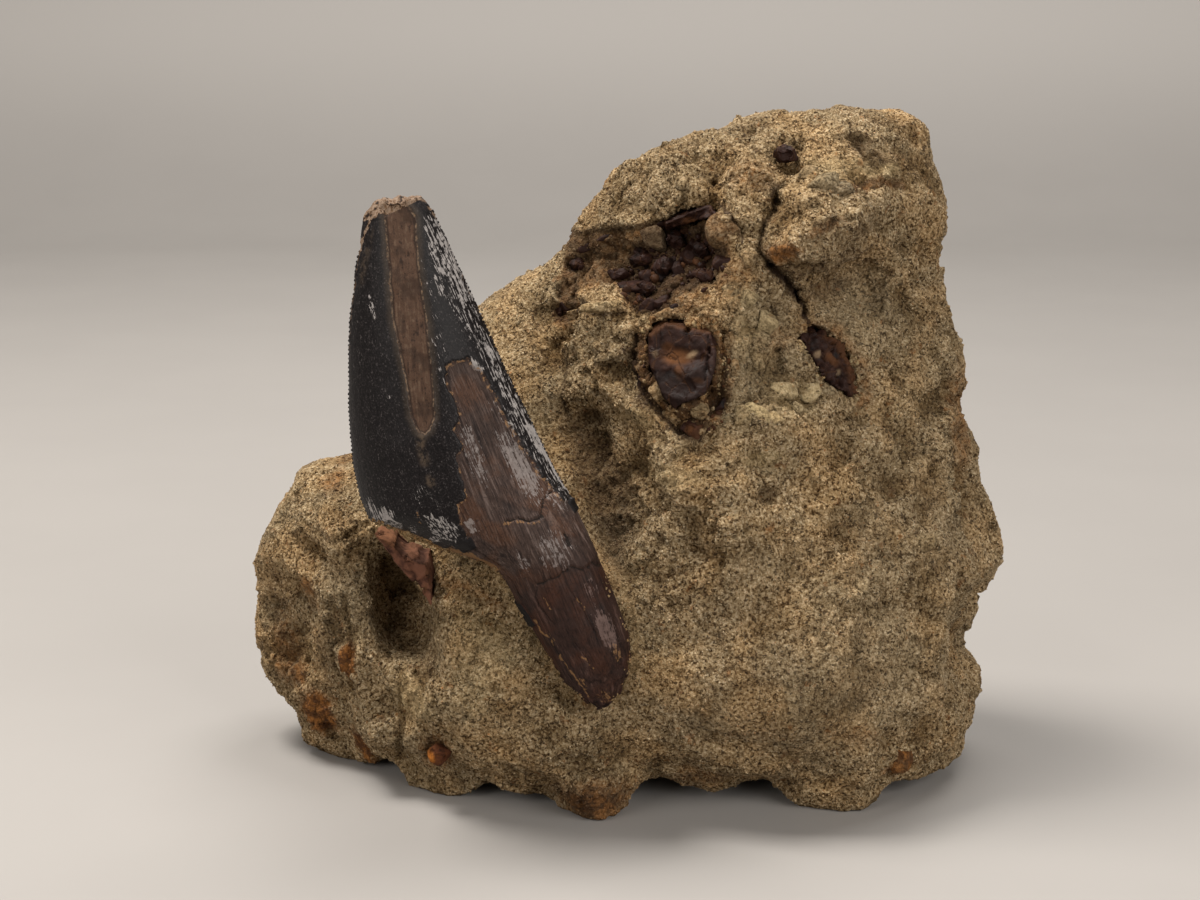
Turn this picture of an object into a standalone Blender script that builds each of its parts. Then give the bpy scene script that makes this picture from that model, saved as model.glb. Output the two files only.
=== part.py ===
"""A fossil tyrannosaur tooth, still bedded in the block of sandstone that it was found in.

The block stands on its own broken feet. The tooth stands against the front of it, crown up and
free, with the root bedded in a low apron of rock. Splinters of dark bone lie in the face above.

Lengths below are in millimetres: x to the right, y to the back, z up from the ground.
Each object's mesh is in metres, in the same frame, with the origin on the ground under the middle.
"""

import math
from dataclasses import dataclass

import bmesh
import bpy
import numpy as np
from mathutils import Vector, noise

MM = 0.001
GAP = 0.3  # clearance between a piece and the socket that it sits in

# ---------------------------------------------------------------- the block of sandstone

# The block's outline as seen from the front, (x, z), from the left foot over the top to the right.
BLOCK_OUTLINE = (
    (-43.5, -2.0), (-45.2, 3.3), (-47.2, 7.0), (-49.8, 11.1), (-50.8, 15.0), (-50.5, 18.6),
    (-50.9, 22.0), (-50.2, 27.6), (-48.4, 32.4), (-46.2, 35.8), (-44.6, 38.6), (-42.4, 39.0),
    (-37.0, 39.4), (-31.5, 45.5), (-26.5, 53.5), (-22.0, 59.6), (-18.6, 62.6), (-15.6, 63.8),
    (-11.6, 67.4), (-7.6, 70.8), (-4.8, 75.2), (-2.2, 79.0), (3.4, 81.8), (9.8, 84.4),
    (14.4, 86.2), (18.6, 87.7), (24.0, 87.2), (29.4, 87.6), (33.0, 86.8), (37.2, 86.9),
    (39.4, 82.4), (40.7, 77.4), (42.0, 71.4), (41.2, 65.8), (43.6, 60.2), (44.4, 54.6),
    (44.4, 50.8), (46.0, 45.6), (46.6, 39.0), (49.6, 33.4), (51.6, 27.0), (49.2, 21.8),
    (46.0, 17.6), (46.0, 13.4), (48.8, 8.2), (47.0, 4.0), (44.8, -2.0),
)

# Depth of the front face: at each height z, points (x, y) from left to right.
FRONT_LEVELS = {
    0: ((-43, 1), (-37, -5), (-25, -14), (-15, -18), (8, -18), (17, -17), (27, -21), (36, -18), (45, -4)),
    8: ((-47, 1), (-38, -8), (-31, -16), (-22, -21), (-12, -24), (4, -24), (18, -24), (30, -25), (40, -16),
        (48, -2)),
    16: ((-51, 2), (-42, -7), (-33, -12), (-25, -23), (-14, -26), (2, -26), (16, -27), (29, -26), (39, -17),
         (47, -1)),
    28: ((-51, 2), (-43, -5), (-35, -10), (-28, -17), (-21, -24), (-10, -24), (-2, -22), (12, -26), (27, -24),
         (37, -16), (50, 0)),
    38: ((-45, 2), (-36, -6), (-29, -12), (-20, -17), (-11, -16), (0, -18), (12, -24), (25, -21), (35, -13),
         (48, 1)),
    50: ((-29, 3), (-20, -5), (-10, -9), (-2, -14), (8, -20), (20, -18), (30, -11), (45, 3)),
    63: ((-18, 3), (-9, -4), (0, -9), (7, -15), (16, -14), (26, -8), (34, -3), (42, 4)),
    75: ((-6, 4), (1, -3), (9, -8), (18, -11), (28, -10), (36, -3), (41, 4)),
    87: ((9, 5), (18, -1), (28, -3), (37, 3)),
}

# Depth of the back face, in the same way.
BACK_LEVELS = {
    0: ((-44, 9), (-31, 21), (-12, 27), (10, 29), (29, 23), (45, 8)),
    18: ((-51, 13), (-40, 23), (-20, 29), (2, 31), (22, 29), (38, 22), (48, 10)),
    40: ((-45, 14), (-34, 22), (-14, 28), (6, 30), (22, 27), (38, 20), (48, 11)),
    62: ((-19, 11), (-8, 19), (6, 25), (20, 23), (33, 18), (43, 10)),
    87: ((12, 11), (24, 16), (37, 12)),
}

SLAB_DEPTHS = (-30.0, 30.0)  # y of the front and back of the plain slab that the block is carved from
VOXEL = 1.15  # grain of the mesh that is carved
RIM_RADIUS = 6.5  # how far in from the outline the faces start to round over
RIM_SHARE = 0.45  # the block's thickness at its rim, as a share of the full thickness there
BLOCK_TRIANGLES = 6200  # what the block keeps once it is thinned

# Where the block touches the ground: (x, y, radius). Between these feet it is broken away.
FEET = (
    (-4.6, -19.5, 3.6), (26.0, -15.5, 4.6), (-24.5, -9.5, 3.8), (-37.0, 1.0, 3.6),
    (2.0, 18.0, 8.0), (33.0, 8.0, 5.0), (-30.0, 13.0, 4.5),
)
UNDERCUT = 4.2  # height of the hollows under the block
UNDERCUT_REACH = 8.0  # height above which the undercut no longer shows
FOOT_SLOPE = 3.5  # distance over which a foot gives way to the undercut
GROUND_REACH = 80.0  # half the size of the box that cuts the feet off level


def smooth(share):
    """Ease a number from 0 to 1, or an array of them, with flat ends."""
    share = np.clip(share, 0.0, 1.0)
    return share * share * (3.0 - 2.0 * share)


def line_distance(x, z, points, closed=False):
    """Distance from each (x, z) to the nearest place on a line through the points."""
    nearest = np.full(np.shape(x), np.inf)
    ends = points[1:] + (points[:1] if closed else ())
    for (ax, az), (bx, bz) in zip(points, ends):
        along = ((x - ax) * (bx - ax) + (z - az) * (bz - az)) / ((bx - ax) ** 2 + (bz - az) ** 2)
        along = np.clip(along, 0.0, 1.0)
        nearest = np.minimum(nearest, np.hypot(x - ax - along * (bx - ax), z - az - along * (bz - az)))
    return nearest


def inside(x, z, points):
    """Whether each (x, z) lies in the closed outline."""
    crossings = np.zeros(np.shape(x), int)
    for (ax, az), (bx, bz) in zip(points, points[1:] + points[:1]):
        spans = (az > z) != (bz > z)
        rise = (bz - az) if bz != az else 1.0
        crossings += spans & (x < ax + (z - az) * (bx - ax) / rise)
    return crossings % 2 == 1


@dataclass(frozen=True)
class Lump:
    """An oval swelling of a face, or a hollow in it where the height is negative."""

    name: str
    x: float
    z: float
    half_width: float
    half_height: float
    height: float
    turn: float = 0.0  # degrees, anticlockwise from the front
    edge: float = 0.7  # share of the radius over which it falls away

    def rise(self, x, z):
        turn = math.radians(self.turn)
        across = ((x - self.x) * math.cos(turn) + (z - self.z) * math.sin(turn)) / self.half_width
        up = ((z - self.z) * math.cos(turn) - (x - self.x) * math.sin(turn)) / self.half_height
        return self.height * smooth((1.0 - np.hypot(across, up)) / self.edge)


@dataclass(frozen=True)
class Line:
    """A ridge along a line through points, or a groove or crack where the height is negative."""

    name: str
    points: tuple
    half_width: float
    height: float

    def rise(self, x, z):
        return self.height * smooth(1.0 - line_distance(x, z, self.points) / self.half_width)


@dataclass(frozen=True)
class Field:
    """A stretch of a face inside an outline that is raised, or sunk where the height is negative."""

    name: str
    points: tuple
    height: float
    edge: float  # width of the slope inside the outline

    def rise(self, x, z):
        depth = line_distance(x, z, self.points, closed=True)
        return np.where(inside(x, z, self.points), self.height * smooth(depth / self.edge), 0.0)


# What the front face carries, from the top of the block down.
FRONT_RELIEF = (
    Lump("boss", 24.4, 74.8, 8.6, 5.0, 5.2, turn=24, edge=0.4),
    Lump("shade_below_boss", 29.0, 65.4, 7.4, 4.6, -4.0, turn=14),
    Line("crevice", ((18.6, 77.6), (17.4, 75.4), (16.6, 73.0), (16.6, 70.6), (17.8, 69.0)), 1.5, -3.4),
    Line("gouge", ((17.8, 69.0), (19.8, 66.8), (21.2, 64.6), (22.4, 62.4)), 1.6, -2.4),
    Lump("top_hollow", 30.8, 83.0, 3.0, 2.0, -2.6, turn=-35),
    Lump("top_knob", 23.5, 79.6, 2.6, 2.0, 1.4),
    Lump("top_shoulder", 8.0, 79.5, 9.0, 4.0, 1.8, turn=28),
    Field("recess", ((-9.9, 61.0), (-9.6, 66.0), (-7.4, 70.6), (-2.9, 71.9), (3.5, 74.0), (8.6, 75.2),
                     (12.4, 73.4), (12.8, 69.0), (8.0, 66.0), (1.0, 64.4), (-4.0, 63.6), (-7.2, 60.8)),
          -4.4, 1.6),
    Lump("tan_pebble", 10.3, 73.6, 2.6, 2.4, 3.4, edge=0.5),
    Lump("grey_pebble", 1.9, 72.2, 1.9, 1.7, 2.8, edge=0.5),
    Lump("pale_pebble", -3.0, 63.7, 3.0, 1.7, 1.8, turn=15),
    Lump("cobble_a", 15.0, 62.4, 2.2, 2.0, 1.6, edge=0.5),
    Lump("cobble_b", 13.1, 65.8, 1.6, 1.5, 1.4, edge=0.5),
    Lump("cobble_c", 21.0, 55.2, 3.0, 1.9, 1.4, turn=-20),
    Lump("yellow_pebble", 16.1, 51.6, 3.0, 1.8, 1.2),
    Lump("bone_collar", 6.4, 58.0, 8.0, 7.6, 2.2),
    Lump("bone_pit_lower", 8.4, 50.6, 3.4, 4.0, -2.4, turn=-25),
    Field("hollow_by_tooth", ((-11.6, 53.0), (-7.6, 52.8), (-1.0, 49.6), (3.2, 44.6), (2.6, 37.6),
                              (0.6, 31.4), (-2.2, 28.6), (-6.0, 35.0), (-9.2, 43.0)), -3.2, 4.2),
    Line("hollow_crack", ((-4.6, 43.0), (-3.6, 38.6), (-2.0, 35.0)), 1.5, -2.4),
    Line("upright_crack", ((-8.3, 58.6), (-8.8, 54.0), (-9.0, 50.0)), 0.9, -1.4),
    Line("ledge_upper", ((2.0, 47.6), (7.0, 46.8), (13.0, 47.6)), 1.6, 1.5),
    Line("ledge_middle", ((3.6, 43.4), (9.0, 42.4), (15.0, 43.0)), 1.6, 1.4),
    Line("ledge_lower", ((4.4, 39.0), (10.0, 38.0), (17.0, 39.4)), 1.8, 1.2),
    Line("right_break", ((35.5, 62.0), (37.0, 52.0), (38.5, 42.0), (40.0, 30.0), (39.0, 18.0), (38.0, 6.0)),
         4.5, 1.6),
    Lump("right_scar", 42.0, 17.6, 5.0, 4.0, -3.4),
    Lump("right_boss", 45.6, 26.4, 5.2, 4.6, 2.6),
    Lump("lower_mass", 18.0, 20.0, 15.0, 11.0, 1.8),
    Field("pit", ((-31.6, 33.0), (-28.4, 31.6), (-26.2, 30.2), (-24.0, 29.0), (-23.4, 24.0), (-23.4, 18.6),
                  (-25.0, 16.4), (-29.0, 16.6), (-32.4, 19.4), (-33.6, 25.0), (-33.4, 30.4)), -9.5, 2.0),
    Line("left_ridge", ((-37.8, 37.0), (-37.0, 30.0), (-36.0, 21.0), (-35.4, 14.0), (-33.4, 6.0)), 3.8, 3.8),
    Line("left_ledge", ((-44.0, 33.0), (-39.0, 32.4), (-34.0, 34.4), (-30.6, 35.6)), 2.2, 1.6),
    Lump("left_flank", -44.0, 20.0, 4.6, 9.0, -3.0, turn=8),
    Lump("left_shoulder", -39.0, 35.6, 5.2, 4.0, 2.2),
    Lump("left_hole", -41.1, 38.2, 1.5, 1.3, -2.2),
    Lump("left_foot", -38.6, 5.0, 5.6, 5.0, 1.6),
    Line("foot_step", ((-42.0, 12.0), (-37.0, 11.0), (-32.0, 12.6), (-28.0, 12.0)), 2.0, -1.8),
    Lump("knob", -4.2, 2.2, 5.8, 5.4, 5.0, edge=0.5),
    Lump("front_foot", 26.5, 2.5, 6.5, 4.6, 2.0),
)

# What the back face carries.
BACK_RELIEF = (
    Field("flake_scar", ((-36.0, 12.0), (-38.0, 26.0), (-28.0, 36.0), (-12.0, 34.0), (-8.0, 20.0),
                         (-18.0, 9.0)), -4.5, 7.0),
    Line("back_ledge", ((-30.0, 42.0), (-10.0, 46.0), (10.0, 44.0), (34.0, 50.0)), 5.0, 2.2),
    Lump("back_boss", 16.0, 62.0, 11.0, 8.0, 3.2, turn=25),
    Lump("back_hollow", 28.0, 32.0, 10.0, 8.0, -4.0, turn=-20),
    Line("back_crack", ((4.0, 78.0), (8.0, 66.0), (5.0, 54.0), (9.0, 46.0)), 1.6, -2.6),
    Lump("back_foot", 2.0, 4.0, 16.0, 9.0, 2.0),
)

# Layers of natural roughness: (size of the lumps, how far they stand out).
ROUGHNESS = ((16.0, 1.8), (7.0, 1.1), (3.2, 0.5))
CHUNK_SIZE = 17.0  # the rock also breaks in blunt chunks of this size
CHUNK_REACH = 1.0  # with joints this deep between them
CHUNK_JOINT = 0.35  # width of the joints' slopes, as a share of the size
CHUNK_LEVEL = 0.7  # share of a chunk's height that counts as level with the face
CALM_REACH = 5.0  # near the outline and the bits of bone the roughness fades over this distance
CALM_SHARE = 0.4  # to this share of what it is elsewhere


def depth_at(levels, x, z):
    """Depth y of a face at each (x, z), between the levels that it is drawn through."""
    heights = sorted(levels)
    rows = np.array([np.interp(x, *zip(*levels[height])) for height in heights])
    place = np.interp(z, heights, np.arange(len(heights)))
    low = np.minimum(place.astype(int), len(heights) - 2)
    share = place - low
    column = np.arange(len(x))
    return rows[low, column] * (1.0 - share) + rows[low + 1, column] * share


def front_depth(x, z):
    """Depth y of the carved front face at each (x, z)."""
    return depth_at(FRONT_LEVELS, x, z) - sum(form.rise(x, z) for form in FRONT_RELIEF)


def back_depth(x, z):
    """Depth y of the carved back face at each (x, z)."""
    return depth_at(BACK_LEVELS, x, z) + sum(form.rise(x, z) for form in BACK_RELIEF)


def front_at(x, z):
    """Depth y of the front face at one place."""
    return float(front_depth(np.array([x]), np.array([z]))[0])


# ---------------------------------------------------------------- the tooth

TOOTH_TIP = (-26.9, 78.4)  # (x, z) of the worn tip
TOOTH_END = (-3.2, 16.3)  # (x, z) of the root's end
TIP_DEPTH = -22.5  # y of the middle of the tooth at its tip
END_DEPTH = -26.5  # and at the root's end
TOOTH_LENGTH = math.dist(TOOTH_TIP, TOOTH_END)

# Each edge of the tooth: (distance from the tip along the tooth, distance to the right of its line).
FRONT_EDGE = (
    (0.0, -3.1), (1.0, -4.8), (2.2, -6.4), (4.6, -8.3), (7.4, -9.6), (10.4, -11.4), (13.8, -12.9),
    (20.7, -15.7), (27.0, -17.7), (31.0, -18.4), (34.2, -18.4), (36.5, -15.4), (39.3, -12.5), (42.3, -9.6),
    (44.2, -7.0), (46.4, -5.9), (50.3, -5.4), (57.4, -4.4), (61.2, -3.8), (64.3, -2.4), (66.2, -0.9),
)
BACK_EDGE = (
    (0.0, 1.9), (1.8, 2.7), (8.4, 3.1), (14.9, 3.5), (22.9, 3.9), (29.6, 4.5), (36.0, 5.0), (41.8, 5.9),
    (46.4, 6.3), (51.8, 6.6), (58.4, 6.7), (61.4, 5.8), (64.6, 3.4), (66.2, 0.9),
)
# Half the tooth's thickness: (distance from the tip, half thickness).
HALF_THICKNESS = (
    (0.0, 2.0), (3.0, 2.9), (8.0, 4.1), (16.0, 5.5), (26.0, 6.7), (34.0, 7.0), (40.0, 6.7), (46.0, 5.9),
    (54.0, 5.6), (60.0, 4.6), (64.0, 3.0), (66.2, 1.6),
)
ROOT_STARTS = 36.0  # the crown's pointed section changes into the root's oval from here
ROOT_REACHED = 48.0  # to here
CROWN_POINT = 1.4  # power of the crown's section: over 1 draws its two edges to a point
ROOT_POINT = 0.85
SECTION_POINTS = 22
SECTIONS = 25
TIP_SLANT = 0.3  # the worn tip is nearly level, so the first section leans by this slope
TIP_SLANT_REACH = 3.4
ENAMEL = 0.45  # thickness of the enamel that has flaked away

# Where enamel is missing from the crown's face, (along, across) as for the edges.
WORN_GROOVE = (
    (0.8, -2.1), (1.2, 0.9), (7.5, -0.9), (13.2, -2.1), (19.2, -3.7), (24.0, -5.3), (25.7, -7.2),
    (23.0, -8.0), (18.0, -6.9), (11.7, -6.0), (6.2, -4.4),
)
BARE_DENTINE = (
    (19.3, 0.6), (21.2, 1.5), (25.2, 2.2), (28.5, 2.4), (32.4, 3.0), (36.1, 3.8), (39.3, 4.7), (41.4, 6.1),
    (44.0, 12.0), (69.0, 12.0), (69.0, -9.0), (45.0, -12.0), (40.4, -11.2), (39.9, -9.9), (40.7, -7.2),
    (37.3, -7.2), (34.7, -6.6), (34.3, -5.3), (29.1, -4.6), (28.4, -3.7), (26.3, -3.8), (25.1, -2.5),
    (21.5, -2.6), (19.0, -2.1),
)
WORN_REACH = (-14.0, 0.7)  # the worn places are cut from in front of the tooth to just past its middle

ALONG = Vector((TOOTH_END[0] - TOOTH_TIP[0], 0.0, TOOTH_END[1] - TOOTH_TIP[1])).normalized()
ACROSS = Vector((-ALONG.z, 0.0, ALONG.x))


def tooth_point(along, across, out):
    """A place on the tooth: along it from the tip, across it, and out towards the back."""
    depth = TIP_DEPTH + (END_DEPTH - TIP_DEPTH) * along / TOOTH_LENGTH
    tip = Vector((TOOTH_TIP[0], depth + out, TOOTH_TIP[1]))
    return tip + ALONG * along + ACROSS * across


def tooth_section(along, grow):
    """The ring of points around the tooth at one distance from the tip, grown by some millimetres."""
    left = np.interp(along, *zip(*FRONT_EDGE)) - grow
    right = np.interp(along, *zip(*BACK_EDGE)) + grow
    thick = np.interp(along, *zip(*HALF_THICKNESS)) + grow
    rooted = smooth((along - ROOT_STARTS) / (ROOT_REACHED - ROOT_STARTS))
    point = CROWN_POINT + (ROOT_POINT - CROWN_POINT) * float(rooted)
    ring = []
    for step in range(SECTION_POINTS):
        angle = 2.0 * math.pi * step / SECTION_POINTS
        side = (left + right) / 2.0 + (right - left) / 2.0 * math.cos(angle)
        out = thick * math.copysign(abs(math.sin(angle)) ** point, math.sin(angle))
        ring.append((side, out))
    return ring


def tooth_mesh(grow=0.0):
    """A bmesh of the whole tooth, lofted from tip to root, grown or shrunk all over."""
    work = bmesh.new()
    stations = np.linspace(0.0, FRONT_EDGE[-1][0], SECTIONS)
    rings = []
    for station in stations:
        # The two ends move out too, so that a grown tooth is longer as well.
        moved = station + grow * (2.0 * station / stations[-1] - 1.0)
        slant = TIP_SLANT * float(smooth(1.0 - station / TIP_SLANT_REACH))
        section = tooth_section(station, grow)
        ring = [tooth_point(moved + slant * (side - section[0][0]), side, out) for side, out in section]
        rings.append([work.verts.new(point) for point in ring])
    for ring, following in zip(rings, rings[1:]):
        for step in range(SECTION_POINTS):
            after = (step + 1) % SECTION_POINTS
            work.faces.new((ring[step], ring[after], following[after], following[step]))
    work.faces.new(rings[0])
    work.faces.new(rings[-1][::-1])
    bmesh.ops.triangulate(work, faces=[face for face in work.faces if len(face.verts) > 4])
    bmesh.ops.recalc_face_normals(work, faces=work.faces)
    return work


# ---------------------------------------------------------------- bits of bone in the rock

SHARD_BEVEL = 0.9  # width of the worn slope round a shard's face
CHIP_WEAR = 0.18  # how unevenly a chip is worn, as a share of its size
SOCKET_OPENING = 3.0  # a bit's socket is cut this far in front of it, so that no rock hangs over its face


@dataclass(frozen=True)
class Shard:
    """A flat piece of bone bedded in the front face, drawn by its outline (x, z)."""

    name: str
    outline: tuple
    proud: float  # how far its face stands out of the rock
    thickness: float
    crown: float  # how far its middle stands out further than its rim

    def mesh(self, grow=0.0, opening=0.0):
        """The shard, or with these two the socket around it, which opens to the front."""
        work = bmesh.new()
        middle = Vector((np.mean([x for x, _ in self.outline]), 0.0, np.mean([z for _, z in self.outline])))
        rim = []
        for x, z in self.outline:
            outward = (Vector((x, 0.0, z)) - middle).normalized() * grow
            rim.append(Vector((x + outward.x, front_at(x, z) - self.proud, z + outward.z)))
        front = [work.verts.new(point - Vector((0.0, opening, 0.0))) for point in rim]
        level = max(point.y for point in rim) + self.thickness + grow
        back = [work.verts.new((point.x, level, point.z)) for point in rim]
        count = len(rim)
        for step in range(count):
            after = (step + 1) % count
            work.faces.new((front[step], front[after], back[after], back[step]))
        work.faces.new(back)
        # The face is inset and its middle drawn forward, so the shard has a worn, low crown.
        face = work.faces.new(front[::-1])
        bmesh.ops.inset_individual(work, faces=[face], thickness=SHARD_BEVEL, use_even_offset=True)
        for vert in face.verts:
            vert.co.y -= self.crown
        bmesh.ops.triangulate(work, faces=[face for face in work.faces if len(face.verts) > 4])
        bmesh.ops.recalc_face_normals(work, faces=work.faces)
        return work


@dataclass(frozen=True)
class Chip:
    """A small lump of bone or ironstone bedded in the front face."""

    name: str
    x: float
    z: float
    half_width: float
    half_height: float
    turn: float = 0.0  # degrees, anticlockwise from the front
    half_depth: float = 1.6
    proud: float = 0.4  # how far its middle stands in front of the rock's face

    def mesh(self, grow=0.0, opening=0.0):
        """The chip, or with these two the socket around it, which opens to the front."""
        work = bmesh.new()
        bmesh.ops.create_icosphere(work, subdivisions=1, radius=1.0)
        turn = math.radians(self.turn)
        depth = front_at(self.x, self.z) - self.proud
        own_shift = Vector((0.0, 0.0, sum(map(ord, self.name))))  # so that no two chips are worn alike
        for vert in work.verts:
            wear = 1.0 + CHIP_WEAR * noise.noise(vert.co * 1.3 + own_shift)
            wide = vert.co.x * (self.half_width * wear + grow)
            tall = vert.co.z * (self.half_height * wear + grow)
            deep = vert.co.y * (self.half_depth * wear + grow) - (opening if vert.co.y < 0.0 else 0.0)
            vert.co = Vector((
                self.x + wide * math.cos(turn) - tall * math.sin(turn),
                depth + deep,
                self.z + wide * math.sin(turn) + tall * math.cos(turn),
            ))
        return work


SHARDS = (
    Shard("bone_fragment", ((2.3, 61.0), (4.2, 62.4), (9.9, 61.9), (10.5, 59.6), (10.0, 56.8), (9.0, 54.8),
                            (7.1, 54.0), (5.4, 52.6), (4.0, 54.2), (2.6, 57.4)), 1.0, 4.4, 0.6),
    Shard("bone_splinter", ((21.4, 60.0), (23.0, 61.1), (25.0, 60.4), (26.7, 58.9), (27.9, 55.9),
                            (28.9, 52.6), (26.4, 53.7), (24.5, 55.6), (23.0, 57.8)), 0.5, 3.2, 0.3),
    Shard("bone_strip", ((4.6, 74.0), (7.4, 75.4), (10.2, 76.4), (10.8, 75.4), (7.8, 74.2), (4.9, 72.9)),
          0.9, 2.4, 0.2),
)

CHIPS = (
    Chip("bone_chip_1", 1.6, 69.0, 1.9, 1.1, 8),
    Chip("bone_chip_2", 4.4, 68.2, 1.3, 1.9, -20),
    Chip("bone_chip_3", -1.2, 66.8, 1.9, 1.2, -12),
    Chip("bone_chip_4", 2.0, 65.8, 1.9, 1.1, 5),
    Chip("bone_chip_5", 5.8, 71.6, 1.4, 1.7, 12),
    Chip("bone_chip_6", 9.0, 70.8, 1.4, 1.2, 0, proud=0.9),
    Chip("bone_chip_7", 9.4, 67.9, 2.4, 1.1, 4, proud=0.9),
    Chip("bone_chip_8", -6.6, 67.6, 1.6, 1.0, 25, proud=0.8),
    Chip("bone_chip_9", 7.3, 49.8, 1.4, 1.3, 0, proud=0.8),
    Chip("bone_chip_10", 19.7, 82.6, 1.9, 1.4, -8),
    Chip("ironstone_nodule", -24.5, 7.9, 1.5, 1.9, 10),
)

# A loose block of the tooth's root, broken off under the crown: its face as (x, z).
ROOT_FRAGMENT = (
    (-31.4, 37.3), (-29.6, 36.6), (-28.0, 34.9), (-25.3, 33.6), (-24.7, 30.8), (-24.8, 28.6), (-26.2, 30.6),
    (-27.6, 32.2), (-29.2, 33.9), (-30.4, 35.7),
)
ROOT_FRAGMENT_DEPTHS = (-22.6, -15.5)  # y of its face and of its back


def root_fragment_mesh(grow=0.0):
    """The loose piece of root as an upright prism with the outline of its face."""
    work = bmesh.new()
    middle = Vector((-27.6, 0.0, 33.2))
    face, back = ROOT_FRAGMENT_DEPTHS
    rings = []
    for depth in (face - grow, back + grow):
        ring = []
        for x, z in ROOT_FRAGMENT:
            outward = (Vector((x, 0.0, z)) - middle).normalized() * grow
            ring.append(work.verts.new((x + outward.x, depth, z + outward.z)))
        rings.append(ring)
    count = len(ROOT_FRAGMENT)
    for step in range(count):
        after = (step + 1) % count
        work.faces.new((rings[0][step], rings[0][after], rings[1][after], rings[1][step]))
    work.faces.new(rings[0])
    work.faces.new(rings[1][::-1])
    bmesh.ops.triangulate(work, faces=[face for face in work.faces if len(face.verts) > 4])
    bmesh.ops.recalc_face_normals(work, faces=work.faces)
    return work


# ---------------------------------------------------------------- making the objects

# Finish of each kind of piece: colour, roughness.
SANDSTONE = ((0.36, 0.29, 0.18), 0.95)
TOOTH_BLACK = ((0.035, 0.030, 0.028), 0.45)
ROOT_BROWN = ((0.11, 0.045, 0.026), 0.75)
BONE_BROWN = ((0.06, 0.028, 0.018), 0.60)
IRONSTONE = ((0.16, 0.045, 0.018), 0.85)


def clear_scene():
    for item in list(bpy.data.objects):
        bpy.data.objects.remove(item)


def material(name, finish):
    """A plain Principled material of one colour and roughness."""
    made = bpy.data.materials.new(name)
    made.use_nodes = True
    shader = made.node_tree.nodes["Principled BSDF"]
    colour, roughness = finish
    shader.inputs["Base Color"].default_value = (*colour, 1.0)
    shader.inputs["Roughness"].default_value = roughness
    shader.inputs["Metallic"].default_value = 0.0
    return made


def place(name, work, finish=None):
    """Make an object in the scene from a bmesh in millimetres. With no finish it is a hidden cutter."""
    bmesh.ops.scale(work, vec=(MM, MM, MM), verts=work.verts)
    mesh = bpy.data.meshes.new(name)
    work.to_mesh(mesh)
    work.free()
    made = bpy.data.objects.new(name, mesh)
    bpy.context.scene.collection.objects.link(made)
    if finish:
        mesh.materials.append(material(name, finish))
    else:
        made.hide_render = True
        made.display_type = "WIRE"
    return made


def settle(item):
    """Give an object the mesh that its modifiers make, and drop them."""
    graph = bpy.context.evaluated_depsgraph_get()
    mesh = bpy.data.meshes.new_from_object(item.evaluated_get(graph))
    item.modifiers.clear()
    item.data = mesh


def cut(item, cutter):
    """Take the cutter away from the item."""
    modifier = item.modifiers.new(cutter.name, "BOOLEAN")
    modifier.operation = "DIFFERENCE"
    modifier.solver = "EXACT"
    modifier.object = cutter


def slab(outline, front, back, to_place=lambda x, z, y: (x, y, z)):
    """A bmesh of an outline drawn out from one depth to another."""
    work = bmesh.new()
    face = work.faces.new([work.verts.new(to_place(x, z, front)) for x, z in outline])
    drawn = bmesh.ops.extrude_face_region(work, geom=[face])["geom"]
    drawn = [item for item in drawn if isinstance(item, bmesh.types.BMVert)]
    shift = Vector(to_place(0.0, 0.0, back)) - Vector(to_place(0.0, 0.0, front))
    bmesh.ops.translate(work, vec=shift, verts=drawn)
    bmesh.ops.triangulate(work, faces=[face for face in work.faces if len(face.verts) > 4])
    bmesh.ops.recalc_face_normals(work, faces=work.faces)
    return work


def undercut(x, y, z):
    """How far the underside is broken away upwards at each place, none of it at the feet."""
    standing = np.zeros(len(x))
    for foot_x, foot_y, radius in FEET:
        away = np.hypot(x - foot_x, y - foot_y) - radius
        standing = np.maximum(standing, smooth(1.0 - away / FOOT_SLOPE))
    return UNDERCUT * (1.0 - standing) * np.clip(1.0 - z / UNDERCUT_REACH, 0.0, 1.0)


def carve(points):
    """Turn the slab's points, in millimetres, into the shape of the block."""
    x, y, z = points.T.copy()
    back_share = (y - SLAB_DEPTHS[0]) / (SLAB_DEPTHS[1] - SLAB_DEPTHS[0])
    front, back = front_depth(x, z), back_depth(x, z)
    rim = np.sqrt(1.0 - (1.0 - np.clip(line_distance(x, z, BLOCK_OUTLINE) / RIM_RADIUS, 0.0, 1.0)) ** 2)
    half = (back - front) / 2.0 * (RIM_SHARE + (1.0 - RIM_SHARE) * rim)
    y = (front + back) / 2.0 + half * (2.0 * back_share - 1.0)
    z = z + undercut(x, y, z)
    return np.stack([x, y, z], axis=1)


def roughness(here):
    """Height of the rock's natural roughness at one place."""
    height = sum(reach * noise.noise(here / size) for size, reach in ROUGHNESS)
    near, second = noise.voronoi(here / CHUNK_SIZE)[0][:2]
    return height + CHUNK_REACH * (float(smooth((second - near) / CHUNK_JOINT)) - CHUNK_LEVEL)


def roughen(item):
    """Push each point of the mesh in or out along its normal by the rock's roughness."""
    x, _, z = np.array([vert.co for vert in item.data.vertices]).T / MM
    away = line_distance(x, z, BLOCK_OUTLINE)
    for shard in SHARDS:
        to_shard = np.where(inside(x, z, shard.outline), 0.0, line_distance(x, z, shard.outline, closed=True))
        away = np.minimum(away, to_shard)
    for chip in CHIPS:
        away = np.minimum(away, np.hypot(x - chip.x, z - chip.z) - chip.half_width)
    for vert, share in zip(item.data.vertices, CALM_SHARE + (1.0 - CALM_SHARE) * smooth(away / CALM_REACH)):
        vert.co += vert.normal * roughness(vert.co / MM) * float(share) * MM


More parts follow.
